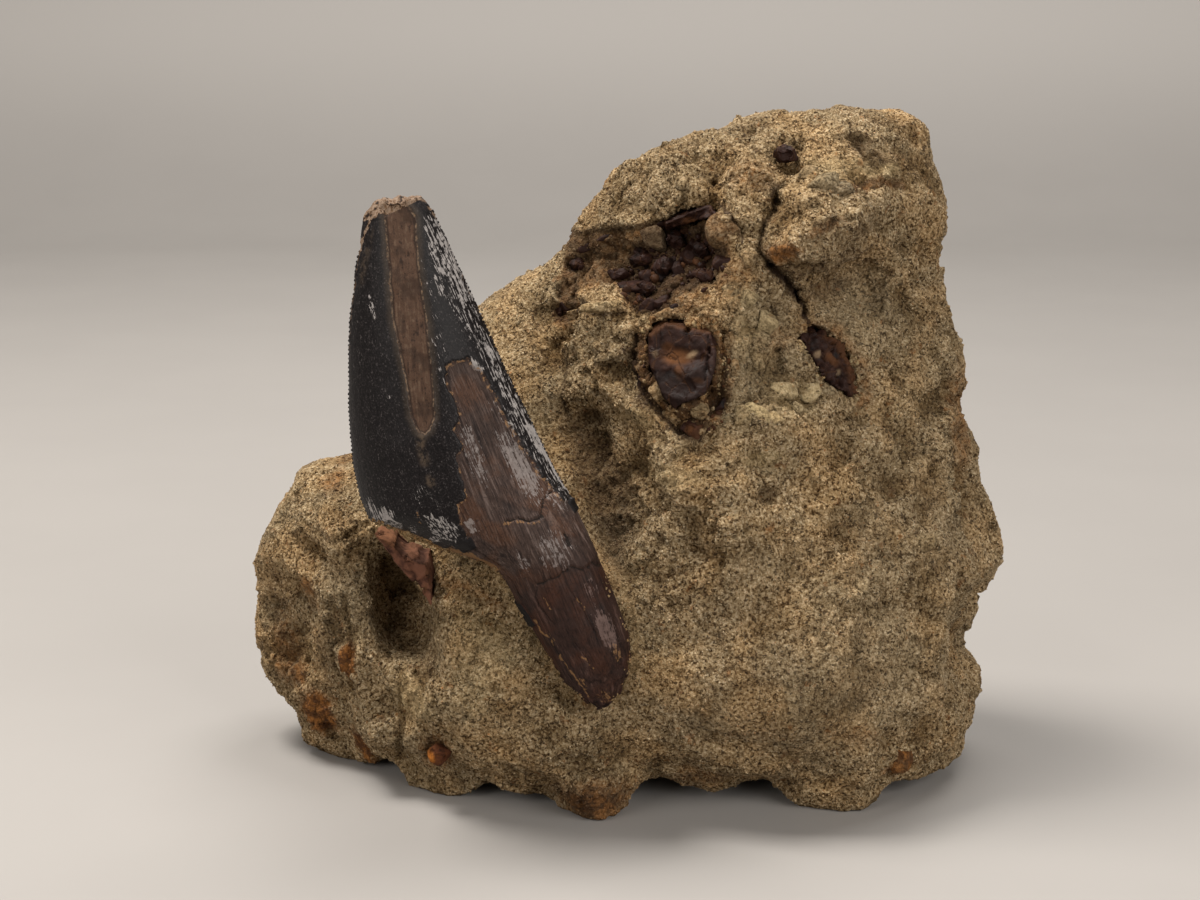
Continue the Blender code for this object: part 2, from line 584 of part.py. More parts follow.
def build_block():
    """The block of sandstone, with a flat on each foot and no sockets yet."""
    block = place("matrix", slab(BLOCK_OUTLINE, *SLAB_DEPTHS), SANDSTONE)
    remesh = block.modifiers.new("even mesh", "REMESH")
    remesh.mode = "VOXEL"
    remesh.voxel_size = VOXEL * MM
    settle(block)
    vertices = block.data.vertices
    points = np.empty(len(vertices) * 3)
    vertices.foreach_get("co", points)
    points = carve(points.reshape(-1, 3) / MM) * MM
    vertices.foreach_set("co", points.ravel())
    block.data.update()
    evened = block.modifiers.new("even mesh again", "REMESH")
    evened.mode = "VOXEL"
    evened.voxel_size = VOXEL * MM
    settle(block)
    roughen(block)
    thin = block.modifiers.new("thin", "DECIMATE")
    thin.ratio = BLOCK_TRIANGLES / (2.0 * len(block.data.polygons))
    settle(block)
    below_ground = ((-GROUND_REACH, -GROUND_REACH), (GROUND_REACH, -GROUND_REACH), (GROUND_REACH, 0.0),
                    (-GROUND_REACH, 0.0))
    cut(block, place("ground_cutter", slab(below_ground, -GROUND_REACH, GROUND_REACH)))
    return block


def build_tooth():
    """The tooth, with the places where its enamel has flaked off sunk into it."""
    tooth = place("tooth", tooth_mesh(), TOOTH_BLACK)
    core = place("dentine_core", tooth_mesh(-ENAMEL))
    for name, outline in (("groove", WORN_GROOVE), ("dentine", BARE_DENTINE)):
        on_tooth = slab(outline, *WORN_REACH, lambda along, across, out: tooth_point(along, across, out))
        cutter = place(f"{name}_cutter", on_tooth)
        cut(cutter, core)
        cut(tooth, cutter)
    return tooth


def main():
    clear_scene()
    block = build_block()
    build_tooth()
    cut(block, place("tooth_socket", tooth_mesh(GAP)))
    pieces = [(shard, BONE_BROWN) for shard in SHARDS]
    pieces += [(chip, IRONSTONE if chip.name == "ironstone_nodule" else BONE_BROWN) for chip in CHIPS]
    for piece, finish in pieces:
        place(piece.name, piece.mesh(), finish)
        cut(block, place(f"{piece.name}_socket", piece.mesh(GAP, SOCKET_OPENING)))
    fragment = place("root_fragment", root_fragment_mesh(), ROOT_BROWN)
    cut(fragment, bpy.data.objects["tooth_socket"])
    cut(block, place("root_fragment_socket", root_fragment_mesh(GAP)))


main()
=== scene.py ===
"""The looks of a fossil tyrannosaur tooth, still bedded in its block of sandstone.

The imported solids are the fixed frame. Finer meshes stand in their place: the block with its sand grains, the
tooth with its serrations and flaked enamel, the loose piece of root and the bits of bone. Every finish is a
procedural material.

Sizes are in millimetres (x right, y back, z up) until a mesh is placed, and in metres in the scene.
"""

import logging
import math
from dataclasses import dataclass, field
from enum import Enum, IntEnum
from typing import Optional, Sequence, Union

import bmesh
import bpy
import numpy as np
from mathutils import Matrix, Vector, noise
from mathutils.bvhtree import BVHTree


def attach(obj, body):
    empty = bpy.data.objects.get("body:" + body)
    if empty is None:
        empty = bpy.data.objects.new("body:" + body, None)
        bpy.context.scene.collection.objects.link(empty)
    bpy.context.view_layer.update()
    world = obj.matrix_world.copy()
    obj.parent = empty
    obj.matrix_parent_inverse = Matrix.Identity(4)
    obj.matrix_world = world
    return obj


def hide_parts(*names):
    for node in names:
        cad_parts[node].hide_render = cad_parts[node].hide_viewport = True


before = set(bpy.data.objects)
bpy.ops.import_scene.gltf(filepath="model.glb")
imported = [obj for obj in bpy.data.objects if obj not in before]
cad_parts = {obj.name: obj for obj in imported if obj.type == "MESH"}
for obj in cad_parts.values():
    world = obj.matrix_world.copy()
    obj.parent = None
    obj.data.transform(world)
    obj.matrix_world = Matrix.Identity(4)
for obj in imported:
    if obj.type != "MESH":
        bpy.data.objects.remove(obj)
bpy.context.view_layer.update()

MM = 0.001
BODY = "root"
SEED = 3412
MERGE = 0.002
LOG = logging.getLogger("specimen")
# The direction from the block to the viewer.
TO_VIEWER = (0.0, -0.97, 0.23)

Colour = tuple[float, float, float]
Place = tuple[float, float]
Outline = tuple[Place, ...]


class Seed(IntEnum):
    """Where each source of chance starts. Grains and seams take one seed more for each mesh or run."""

    SERRATIONS = SEED + 1
    COLLAR = SEED + 7
    RECESS_CRUMBS = SEED + 8
    COLLAR_CRUMBS = SEED + 9
    GRAINS = SEED + 10
    GRANULES = SEED + 20
    CLASTS = SEED + 30
    RUSTY_GRANULES = SEED + 31
    BONE_CHUNKS = SEED + 32
    BONE_CRUMBS = SEED + 33
    SEAM_CRUMBS = SEED + 34
    SEAM_RUNS = SEED + 41
    GRIT = SEED + 61


# ---------------------------------------------------------------- strokes and fields


def smooth(share: np.ndarray) -> np.ndarray:
    """Ease numbers from 0 to 1 with flat ends."""
    share = np.clip(share, 0.0, 1.0)
    return share * share * (3.0 - 2.0 * share)


def line_distance(x: np.ndarray, z: np.ndarray, points: Outline, closed: bool = False) -> np.ndarray:
    """Distance from places to a line through points.

    Args:
        x: First coordinate of each place.
        z: Second coordinate of each place.
        points: The corners of the line.
        closed: Whether the line returns to its first point.

    Returns:
        The distance of each place, in the same unit.
    """
    nearest = np.full(np.shape(x), np.inf)
    ends = points[1:] + (points[:1] if closed else ())
    for (ax, az), (bx, bz) in zip(points, ends):
        share = ((x - ax) * (bx - ax) + (z - az) * (bz - az)) / ((bx - ax) ** 2 + (bz - az) ** 2)
        share = np.clip(share, 0.0, 1.0)
        nearest = np.minimum(nearest, np.hypot(x - ax - share * (bx - ax), z - az - share * (bz - az)))
    return nearest


def depth_inside(x: np.ndarray, z: np.ndarray, outline: Outline) -> np.ndarray:
    """How far inside a closed outline places lie.

    Args:
        x: First coordinate of each place.
        z: Second coordinate of each place.
        outline: The corners of the outline.

    Returns:
        The distance to the outline, negative outside it.
    """
    crossings = np.zeros(np.shape(x), int)
    for (ax, az), (bx, bz) in zip(outline, outline[1:] + outline[:1]):
        rise = (bz - az) if bz != az else 1.0
        crossings += ((az > z) != (bz > z)) & (x < ax + (z - az) * (bx - ax) / rise)
    away = line_distance(x, z, outline, closed=True)
    return np.where(crossings % 2 == 1, away, -away)


def noise_at(points: np.ndarray, size: float, shift: float = 0.0) -> np.ndarray:
    """Smooth noise from -1 to 1 at each point.

    Args:
        points: Places in millimetres, one a row.
        size: Size of the noise's lumps in millimetres.
        shift: Moves the pattern, so that two layers differ.

    Returns:
        One value a point.
    """
    return np.array([noise.noise(Vector(point)) for point in points / size + shift])


def chips_at(points: np.ndarray, size: float, shift: float = 0.0) -> tuple[np.ndarray, np.ndarray]:
    """Voronoi cells: distance to the nearest cell's middle and to the joint with the next cell.

    Args:
        points: Places in millimetres, one a row.
        size: Size of the cells in millimetres.
        shift: Moves the pattern.

    Returns:
        The distance to the nearest middle, and how much further the second one is, as shares of the size.
    """
    found = np.array([noise.voronoi(Vector(point))[0][:2] for point in points / size + shift])
    return found[:, 0], found[:, 1] - found[:, 0]


def breaks_at(points: np.ndarray, size: float, shift: float = 0.0) -> np.ndarray:
    """Flat facets of broken rock, each leaning its own way.

    Args:
        points: Places in millimetres, one a row.
        size: Size of the facets in millimetres.
        shift: Moves the pattern.

    Returns:
        A height a point, mostly between -1 and 1.
    """
    heights = []
    for row in points / size + shift:
        bent = Vector(row) + 0.16 * noise.noise_vector(Vector(row) * 2.3)
        middle = noise.voronoi(bent)[1][0]
        lean = noise.noise_vector(middle * 5.3)
        heights.append(2.4 * lean.dot(bent - middle) + noise.noise(middle * 3.1))
    return np.array(heights)


@dataclass(frozen=True)
class Spot:
    """An oval patch of a face, seen from the front."""

    x: float
    z: float
    half_width: float
    half_height: float
    strength: float
    turn: float = 0.0
    edge: float = 0.7

    def at(self, x: np.ndarray, z: np.ndarray) -> np.ndarray:
        """Strength of the patch at each place."""
        turn = math.radians(self.turn)
        across = ((x - self.x) * math.cos(turn) + (z - self.z) * math.sin(turn)) / self.half_width
        up = ((z - self.z) * math.cos(turn) - (x - self.x) * math.sin(turn)) / self.half_height
        return self.strength * smooth((1.0 - np.hypot(across, up)) / self.edge)


@dataclass(frozen=True)
class Trail:
    """A band along a line through points."""

    points: Outline
    half_width: float
    strength: float
    closed: bool = False

    def at(self, x: np.ndarray, z: np.ndarray) -> np.ndarray:
        """Strength of the band at each place."""
        away = line_distance(x, z, self.points, self.closed)
        return self.strength * smooth(1.0 - away / self.half_width)


@dataclass(frozen=True)
class Patch:
    """The inside of a closed outline, with a soft edge."""

    points: Outline
    strength: float
    edge: float

    def at(self, x: np.ndarray, z: np.ndarray) -> np.ndarray:
        """Strength of the patch at each place."""
        return self.strength * smooth(depth_inside(x, z, self.points) / self.edge)


Stroke = Union[Spot, Trail, Patch]


def raised(strokes: Sequence[Stroke], x: np.ndarray, z: np.ndarray) -> np.ndarray:
    """The sum of several strokes at each place."""
    return sum((stroke.at(x, z) for stroke in strokes), np.zeros(len(x)))


def strongest(strokes: Sequence[Stroke], x: np.ndarray, z: np.ndarray) -> np.ndarray:
    """The strongest of several strokes at each place."""
    value = np.zeros(len(x))
    for stroke in strokes:
        value = np.maximum(value, stroke.at(x, z))
    return value


# ---------------------------------------------------------------- materials


Number = Union[float, "Wire"]


class Wire:
    """A value that leaves a node, with operators that add Math nodes."""

    def __init__(self, shade: "Shade", socket: bpy.types.NodeSocket) -> None:
        """Keep the socket and the material it belongs to."""
        self.shade = shade
        self.socket = socket

    def _math(self, operation: str, *values: Number) -> "Wire":
        """Add one Math node."""
        inputs = dict(enumerate(values))
        return self.shade.node("ShaderNodeMath", {"operation": operation}, inputs)[0]

    def __add__(self, other: Number) -> "Wire":
        """The sum."""
        return self._math("ADD", self, other)

    def __radd__(self, other: Number) -> "Wire":
        """The sum, with the number first."""
        return self._math("ADD", other, self)

    def __sub__(self, other: Number) -> "Wire":
        """The difference."""
        return self._math("SUBTRACT", self, other)

    def __rsub__(self, other: Number) -> "Wire":
        """The difference, with the number first."""
        return self._math("SUBTRACT", other, self)

    def __mul__(self, other: Number) -> "Wire":
        """The product."""
        return self._math("MULTIPLY", self, other)

    def __rmul__(self, other: Number) -> "Wire":
        """The product, with the number first."""
        return self._math("MULTIPLY", other, self)

    def __or__(self, other: Number) -> "Wire":
        """The greater of the two, as when two masks join."""
        return self._math("MAXIMUM", self, other)

    def step(self, low: float, high: float) -> "Wire":
        """Ease from 0 at low to 1 at high."""
        inputs = {0: self, 1: low, 2: high}
        return self.shade.node("ShaderNodeMapRange", {"interpolation_type": "SMOOTHSTEP"}, inputs)[0]


class Made:
    """A node that has been added, whose outputs are read by name or number."""

    def __init__(self, shade: "Shade", node: bpy.types.Node) -> None:
        """Keep the node and the material that it belongs to."""
        self.shade = shade
        self.node = node

    def __getitem__(self, key: Union[int, str]) -> Wire:
        """One output."""
        return Wire(self.shade, self.node.outputs[key])


class Shade:
    """One material and its nodes."""

    def __init__(self, name: str) -> None:
        """Make the material with its Principled shader."""
        self.material = bpy.data.materials.new(name)
        self.material.use_nodes = True
        self.tree = self.material.node_tree
        self.shader = self.tree.nodes["Principled BSDF"]
        self._place: Optional[Wire] = None

    def node(self, kind: str, settings: Optional[dict] = None, inputs: Optional[dict] = None) -> Made:
        """Add a node.

        Args:
            kind: The node's type.
            settings: Its settings, or for a ramp its stops as (place, colour) under "stops".
            inputs: Values or wires by socket name or number.

        Returns:
            The node, ready to be read.
        """
        made = self.tree.nodes.new(kind)
        for key, value in (settings or {}).items():
            if key == "stops":
                self._set_stops(made.color_ramp, value)
            else:
                setattr(made, key, value)
        for key, value in (inputs or {}).items():
            self.feed(made.inputs[key], value)
        return Made(self, made)

    @staticmethod
    def _set_stops(ramp: bpy.types.ColorRamp, stops: Sequence[tuple[float, Colour]]) -> None:
        """Give a ramp its stops."""
        while len(ramp.elements) < len(stops):
            ramp.elements.new(1.0)
        for element, (place, colour) in zip(ramp.elements, stops):
            element.position = place
            element.color = (*colour, 1.0)

    def feed(self, socket: bpy.types.NodeSocket, value: Union[Number, Sequence[float]]) -> None:
        """Link a wire to a socket, or set its value."""
        if isinstance(value, Wire):
            self.tree.links.new(value.socket, socket)
        elif socket.type == "RGBA" and len(value) == 3:
            socket.default_value = (*value, 1.0)
        else:
            socket.default_value = value

    def place(self) -> Wire:
        """Object coordinates, in millimetres."""
        if self._place is None:
            at = self.node("ShaderNodeTexCoord")["Object"]
            scaled = self.node("ShaderNodeVectorMath", {"operation": "SCALE"}, {0: at, "Scale": 1.0 / MM})
            self._place = scaled[0]
        return self._place

    def stretched(self, vector: Wire, scale: Colour, shift: Colour = (0.0, 0.0, 0.0)) -> Wire:
        """A vector scaled along each axis and moved."""
        inputs = {0: vector, 1: scale, 2: shift}
        return self.node("ShaderNodeVectorMath", {"operation": "MULTIPLY_ADD"}, inputs)[0]

    def noise(self, size: float, detail: float = 3.0, rough: float = 0.55, at: Optional[Wire] = None) -> Wire:
        """Noise with lumps of a size in millimetres, mostly between 0.3 and 0.7."""
        inputs = {"Vector": at or self.place(), "Scale": 1.0 / size, "Detail": detail, "Roughness": rough}
        return self.node("ShaderNodeTexNoise", {}, inputs)[0]

    def cells(self, size: float, feature: str = "F1", at: Optional[Wire] = None) -> Made:
        """Voronoi cells of a size in millimetres."""
        inputs = {"Vector": at or self.place(), "Scale": 1.0 / size}
        return self.node("ShaderNodeTexVoronoi", {"feature": feature}, inputs)

    def value(self, name: str) -> Wire:
        """A number stored on the mesh's points."""
        return self.node("ShaderNodeAttribute", {"attribute_name": name})["Fac"]

    def parts(self, name: str) -> tuple[Wire, Wire, Wire, Wire]:
        """The four channels of a colour stored on the mesh's points."""
        made = self.node("ShaderNodeAttribute", {"attribute_name": name})
        split = self.node("ShaderNodeSeparateColor", {}, {0: made["Color"]})
        return split[0], split[1], split[2], made["Alpha"]

    def red(self, colour: Wire) -> Wire:
        """The red of a colour, as a number."""
        return self.node("ShaderNodeSeparateColor", {}, {0: colour})[0]

    def mix(self, share: Number, first: Union[Wire, Colour], second: Union[Wire, Colour],
            blend: str = "MIX") -> Wire:
        """Mix two colours."""
        settings = {"data_type": "RGBA", "blend_type": blend}
        return self.node("ShaderNodeMix", settings, {0: share, 6: first, 7: second})[2]

    def ramp(self, value: Wire, stops: Sequence[tuple[float, Colour]]) -> Wire:
        """A colour that follows a value."""
        return self.node("ShaderNodeValToRGB", {"stops": stops}, {0: value})[0]

    def bump(self, height: Wire, distance: float) -> Wire:
        """A normal tilted by a height, whose full range stands for a distance in millimetres."""
        inputs = {"Height": height, "Distance": distance * MM, "Strength": 1.0}
        return self.node("ShaderNodeBump", {}, inputs)[0]

    def finish(self, colour: Wire, rough: Number, normal: Optional[Wire] = None,
               specular: float = 0.5) -> bpy.types.Material:
        """Link the colour, the roughness and the normal to the shader.

        Args:
            colour: Base colour.
            rough: Roughness.
            normal: Normal, where the surface has one of its own.
            specular: Specular level, the same all over.

        Returns:
            The material.
        """
        self.feed(self.shader.inputs["Base Color"], colour)
        self.feed(self.shader.inputs["Roughness"], rough)
        self.shader.inputs["Specular IOR Level"].default_value = specular
        if normal is not None:
            self.feed(self.shader.inputs["Normal"], normal)
        return self.material


@dataclass(frozen=True)
class SandstoneFinish:
    """Coarse buff sandstone with dark and pale grains, staining, rust and painted shade."""

    grain: float = 0.34
    dark_grain: Colour = (0.031, 0.0175, 0.0080)
    brown_grain: Colour = (0.108, 0.065, 0.029)
    buff_grain: Colour = (0.190, 0.132, 0.070)
    light_grain: Colour = (0.262, 0.194, 0.112)
    pale_grain: Colour = (0.400, 0.330, 0.225)
    rusty_grain: Colour = (0.220, 0.110, 0.042)
    rust: Colour = (0.235, 0.098, 0.028)
    rust_dark: Colour = (0.085, 0.036, 0.014)
    dirt_and_shade: Colour = (0.040, 0.023, 0.013)
    # Dark brown of the stains, also used as painted shade.
    chalk: Colour = (0.420, 0.325, 0.175)
    grey: Colour = (0.180, 0.154, 0.104)

    def material(self, name: str, loose: bool) -> bpy.types.Material:
        """The block's material, or that of the loose grains on it.

        Args:
            name: Name of the material.
            loose: Whether each grain is a mesh with a tone of its own.

        Returns:
            The material.
        """
        shade = Shade(name)
        grains = shade.noise(0.42, 3.0, 0.7)
        if loose:
            tone = shade.value("tone") * 0.7 + grains.step(0.36, 0.64) * 0.3
        else:
            tone = shade.red(shade.cells(self.grain)["Color"]) * 0.4 + grains.step(0.34, 0.66) * 0.6
        colour = shade.ramp(tone, (
            (0.08, self.dark_grain), (0.20, self.brown_grain), (0.36, self.buff_grain),
            (0.64, self.light_grain), (0.88, self.pale_grain), (0.95, self.rusty_grain),
        ))
        rust, dirt_and_shade, chalk, grey = shade.parts("stain")
        broad = shade.noise(14.0, 3.0)
        patches = shade.noise(4.2, 3.0, 0.6)
        fine = shade.noise(1.1, 2.0)
        shadow = shade.mix(broad.step(0.36, 0.66), (0.92, 0.91, 0.90), (1.10, 1.08, 1.05))
        colour = shade.mix(1.0, colour, shadow, "MULTIPLY")
        mottled = shade.mix(patches.step(0.36, 0.64), (0.86, 0.85, 0.83), (1.12, 1.11, 1.10))
        colour = shade.mix(1.0, colour, mottled, "MULTIPLY")
        away = shade.stretched(shade.place(), (1.0, 1.0, 1.0), (11.0, 47.0, 5.0))
        warm = shade.mix(shade.noise(7.5, 2.0, 0.5, away).step(0.44, 0.66), (1.0, 1.0, 1.0),
                         (1.06, 0.98, 0.88))
        colour = shade.mix(1.0, colour, warm, "MULTIPLY")
        specks = shade.noise(0.62, 2.0, 0.7, away)
        colour = shade.mix(specks.step(0.60, 0.64) * 0.80, colour, self.dark_grain)
        olive = shade.noise(8.0, 2.0, 0.5, shade.stretched(shade.place(), (1.0, 1.0, 1.0), (31.0, 7.0, 19.0)))
        colour = shade.mix(olive.step(0.50, 0.66) * 0.12, colour, self.grey)
        colour = shade.mix((grey * 0.4) * (0.55 + fine), colour, self.grey)
        colour = shade.mix(chalk * (0.50 + 0.55 * fine), colour, self.chalk)
        spots = (shade.noise(2.3, 3.0, 0.6) - 0.645).step(0.0, 0.05)
        rusty = (rust * (0.35 + 0.80 * patches)) | (spots * 0.5)
        colour = shade.mix(rusty, colour, shade.mix(fine.step(0.4, 0.62), self.rust_dark, self.rust))
        # Dark stains, and painted shade where the block's strokes put it.
        colour = shade.mix(dirt_and_shade * (0.70 + 0.35 * patches), colour, self.dirt_and_shade)
        # Painted shade: where the stored relief is low the colour is darkened, to 0.6 of itself in the deepest
        # hollows, and high places are lightened a little.
        relief_for_painted_shade = shade.value("relief")
        sunk = shade.mix(relief_for_painted_shade.step(-0.75, 0.35), (0.60, 0.555, 0.48), (1.05, 1.05, 1.03))
        colour = shade.mix(1.0, colour, sunk, "MULTIPLY")
        if loose:
            normal = shade.bump(shade.noise(0.5, 3.0, 0.6), 0.10)
            return shade.finish(colour, 0.85, normal, 0.25)
        open_sand = shade.noise(5.0, 3.0, 0.6, away).step(0.36, 0.62)
        pores = (1.0 - grains).step(0.52, 0.66) | (1.0 - shade.noise(1.3, 3.0, 0.7, away)).step(0.56, 0.66)
        colour = shade.mix(pores * (0.16 + 0.46 * open_sand), colour, self.dark_grain)
        height = grains * 0.75 + shade.noise(2.4, 6.0, 0.80) * (1.8 + 1.8 * open_sand) - pores * 0.25
        return shade.finish(colour, 0.95, shade.bump(height, 0.30), 0.10)


@dataclass(frozen=True)
class ToothFinish:
    """Black enamel, brown dentine and root, the worn groove and tip, and bloom partly painted as sheen, told
    apart by the mesh's masks.
    """

    pitch: Colour = (0.0028, 0.0021, 0.0022)
    black: Colour = (0.0058, 0.0045, 0.0046)
    worn: Colour = (0.0125, 0.0102, 0.0102)
    speckle: Colour = (0.056, 0.049, 0.047)
    # Whitish grey of the bloom: partly wear, partly a painted sheen.
    bloom_and_sheen: Colour = (0.300, 0.275, 0.260)
    halo: Colour = (0.058, 0.041, 0.028)
    dentine: Colour = (0.038, 0.0235, 0.0185)
    dentine_dark: Colour = (0.0115, 0.0070, 0.0060)
    dentine_light: Colour = (0.100, 0.071, 0.060)
    dentine_warm: Colour = (0.070, 0.030, 0.0145)
    dentine_bloom_and_sheen: Colour = (0.215, 0.185, 0.172)
    torn: Colour = (0.230, 0.130, 0.062)
    groove: Colour = (0.060, 0.033, 0.0205)
    groove_dark: Colour = (0.021, 0.0115, 0.0076)
    groove_light: Colour = (0.104, 0.066, 0.043)
    groove_rim: Colour = (0.200, 0.142, 0.096)
    tip_pale: Colour = (0.215, 0.155, 0.112)
    tip_tan: Colour = (0.105, 0.060, 0.032)
    ochre: Colour = (0.205, 0.112, 0.048)
    crack: Colour = (0.012, 0.008, 0.006)

    def material(self, name: str) -> bpy.types.Material:
        """The tooth's material.

        Args:
            name: Name of the material.

        Returns:
            The material.
        """
        shade = Shade(name)
        way = shade.node("ShaderNodeAttribute", {"attribute_name": "way"})["Vector"]
        part = shade.node("ShaderNodeSeparateXYZ", {}, {0: way})
        down_groove = shade.node("ShaderNodeCombineXYZ", {},
                                 {0: part[0] + part[1] * 0.31, 1: part[1], 2: part[2]})[0]
        fine = shade.noise(0.22, 2.0, 0.6)
        grit = shade.noise(0.6, 3.0, 0.65)
        broad = shade.noise(5.0, 2.0)
        threads = shade.noise(1.0, 3.0, 0.65, shade.stretched(way, (4.6, 0.42, 4.6)))
        streaks = shade.noise(1.0, 3.0, 0.6, shade.stretched(way, (1.5, 0.13, 1.5), (7.0, 3.0, 0.0)))
        fibres = shade.noise(1.0, 2.0, 0.6, shade.stretched(way, (5.5, 0.26, 5.5), (2.0, 9.0, 0.0)))

        enamel_edge = shade.value("enamel") + (fine - 0.5) * 0.25
        groove_edge = shade.value("groove") + (fine - 0.5) * 0.15
        bloom_and_sheen = shade.value("bloom_and_sheen")
        enamel = enamel_edge.step(-0.05, 0.05)
        in_groove = groove_edge.step(-0.05, 0.07)

        black = shade.ramp(fine * 0.55 + threads * 0.25 + grit * 0.20, (
            (0.38, self.pitch), (0.50, self.black), (0.57, self.worn), (0.64, self.speckle)))
        smudge = shade.value("smudge")
        near = groove_edge.step(-0.95, -0.05) * (0.15 + 0.5 * grit) | smudge * grit.step(0.36, 0.60)
        black = shade.mix(near, black, self.halo)
        # Whitish streaks on the enamel: partly chalky wear, partly a painted sheen of reflected light.
        frost_and_sheen = ((threads * 0.66 + grit * 0.34) + bloom_and_sheen * 0.125).step(0.630, 0.665)
        frost_and_sheen = frost_and_sheen * bloom_and_sheen.step(0.02, 0.40)
        black = shade.mix(frost_and_sheen * (0.30 + 0.9 * grit), black, self.bloom_and_sheen)

        brown = shade.ramp(streaks, (
            (0.34, self.dentine_dark), (0.46, self.dentine), (0.57, self.dentine),
            (0.68, self.dentine_light)))
        brown = shade.mix(broad.step(0.46, 0.62) * (0.30 + 0.5 * grit), brown, self.dentine_warm)
        deep = part[1].step(43.0, 50.0)
        brown = shade.mix(fibres.step(0.53, 0.66) * (0.42 - 0.22 * deep), brown, self.dentine_light)
        brown = shade.mix((1.0 - fibres).step(0.53, 0.64) * 0.6, brown, self.dentine_dark)
        brown = shade.mix((fine * 0.6 + grit * 0.4).step(0.52, 0.62) * 0.5, brown, self.dentine_dark)
        # Grey patches on the dentine: partly bloom, partly a painted sheen.
        haze_and_sheen = ((threads * 0.62 + grit * 0.38) + bloom_and_sheen * 0.13).step(0.60, 0.65) * bloom_and_sheen.step(0.02, 0.5)
        brown = shade.mix(haze_and_sheen * (0.25 + 0.9 * grit), brown, self.dentine_bloom_and_sheen)
        brown = shade.mix(deep, brown, shade.mix(1.0, brown, (0.58, 0.45, 0.42), "MULTIPLY"))
        torn = enamel_edge.step(-0.34, -0.16) * grit.step(0.50, 0.60)
        brown = shade.mix(torn * 0.8, brown, self.torn)

        lines = shade.noise(1.0, 3.0, 0.6, shade.stretched(down_groove, (2.4, 0.16, 2.4), (3.0, 5.0, 0.0)))
        tan = shade.ramp(lines * 0.45 + fine * 0.25 + grit * 0.30, (
            (0.40, self.groove_dark), (0.47, self.groove), (0.53, self.groove), (0.60, self.groove_light)))
        blotch = shade.noise(2.6, 3.0, 0.6).step(0.50, 0.64)
        tan = shade.mix(blotch * 0.55, tan, self.groove_dark)
        tan = shade.mix(1.0 - groove_edge.step(0.16, 0.44), tan, self.groove_dark)
        tan = shade.mix((fine * 0.6 + grit * 0.4).step(0.52, 0.62) * 0.4, tan, self.groove_dark)
        rim = (1.0 - groove_edge.step(0.08, 0.22)) * grit.step(0.40, 0.66)
        tan = shade.mix(rim * 0.6, tan, self.groove_rim)

        colour = shade.mix(enamel, brown, black)
        colour = shade.mix(in_groove, colour, tan)
        soot = shade.value("soot")
        colour = shade.mix(soot.step(0.40, 0.55), colour, self.black)
        tip = (shade.value("tip") + (grit - 0.5) * 0.8).step(0.40, 0.60)
        capped = shade.ramp(shade.noise(0.6, 3.0, 0.6), (
            (0.38, self.crack), (0.45, self.tip_tan), (0.54, self.tip_pale), (0.62, self.tip_tan)))
        colour = shade.mix(tip * 0.9, colour, capped)
        ochre = (shade.value("ochre") + (grit - 0.5) * 2.0 + (threads - 0.5) * 2.0).step(0.52, 0.74) \
            * shade.value("ochre").step(0.04, 0.20)
        colour = shade.mix(ochre * 0.62, colour, self.ochre)
        crack = (shade.value("crack") + (fine - 0.5) * 0.5).step(0.42, 0.62)
        colour = shade.mix(crack * 0.92, colour, self.crack)

        rough = 0.42 + 0.20 * frost_and_sheen + (1.0 - enamel) * 0.14 + tip * 0.25 + ochre * 0.2 + grit * 0.10
        height = threads * 0.25 + fibres * ((1.0 - enamel) * 0.55) + grit * 0.30 + frost_and_sheen * 0.25
        return shade.finish(colour, rough, shade.bump(height, 0.14), 0.13)


@dataclass(frozen=True)
class BoneFinish:
    """Dark fossil bone: a slightly glossy body with rusty cracks, or a matt one."""

    body: Colour = (0.018, 0.0072, 0.0048)
    dark: Colour = (0.006, 0.0028, 0.0021)
    sheen: Colour = (0.050, 0.021, 0.014)
    rust: Colour = (0.110, 0.044, 0.014)
    chalk: Colour = (0.330, 0.230, 0.135)
    crack_size: float = 2.4
    rough: float = 0.44

    def material(self, name: str) -> bpy.types.Material:
        """The material of one kind of bone.

        Args:
            name: Name of the material.

        Returns:
            The material.
        """
        shade = Shade(name)
        rust, dirt_and_shade, chalk, _ = shade.parts("stain")
        coarse = shade.noise(1.7, 4.0, 0.62)
        fine = shade.noise(0.30, 2.0, 0.6)
        colour = shade.ramp(coarse,
                            ((0.34, self.dark), (0.48, self.body), (0.60, self.body), (0.74, self.sheen)))
        gaps = shade.cells(self.crack_size, "DISTANCE_TO_EDGE",
                           shade.stretched(shade.place(), (1.0, 1.0, 0.7)))["Distance"]
        joint = (1.0 - (gaps + (fine - 0.5) * 0.06).step(0.010, 0.045)) * coarse.step(0.44, 0.56)
        rusty = (rust * (0.3 + 1.2 * coarse)) | (joint * 0.45)
        colour = shade.mix(rusty, colour, self.rust)
        colour = shade.mix(chalk * (0.4 + 0.8 * fine), colour, self.chalk)
        colour = shade.mix(dirt_and_shade | (joint * 0.55), colour, self.dark)
        rough = self.rough + coarse * 0.25 + rust * 0.25 + chalk * 0.2
        height = coarse * 0.5 + fine * 0.30 - joint * 0.3
        return shade.finish(colour, rough, shade.bump(height, 0.20), 0.10)


# ---------------------------------------------------------------- meshes


class Slot(Enum):
    """The record's material slots."""

    SANDSTONE = "sandstone"
    TOOTH = "tooth"
    ROOT = "root"
    BONE = "bone"
    IRONSTONE = "ironstone"


def points_of(item: bpy.types.Object) -> np.ndarray:
    """The object's points in millimetres, one a row."""
    flat = np.empty(len(item.data.vertices) * 3)
    item.data.vertices.foreach_get("co", flat)
    return flat.reshape(-1, 3) / MM


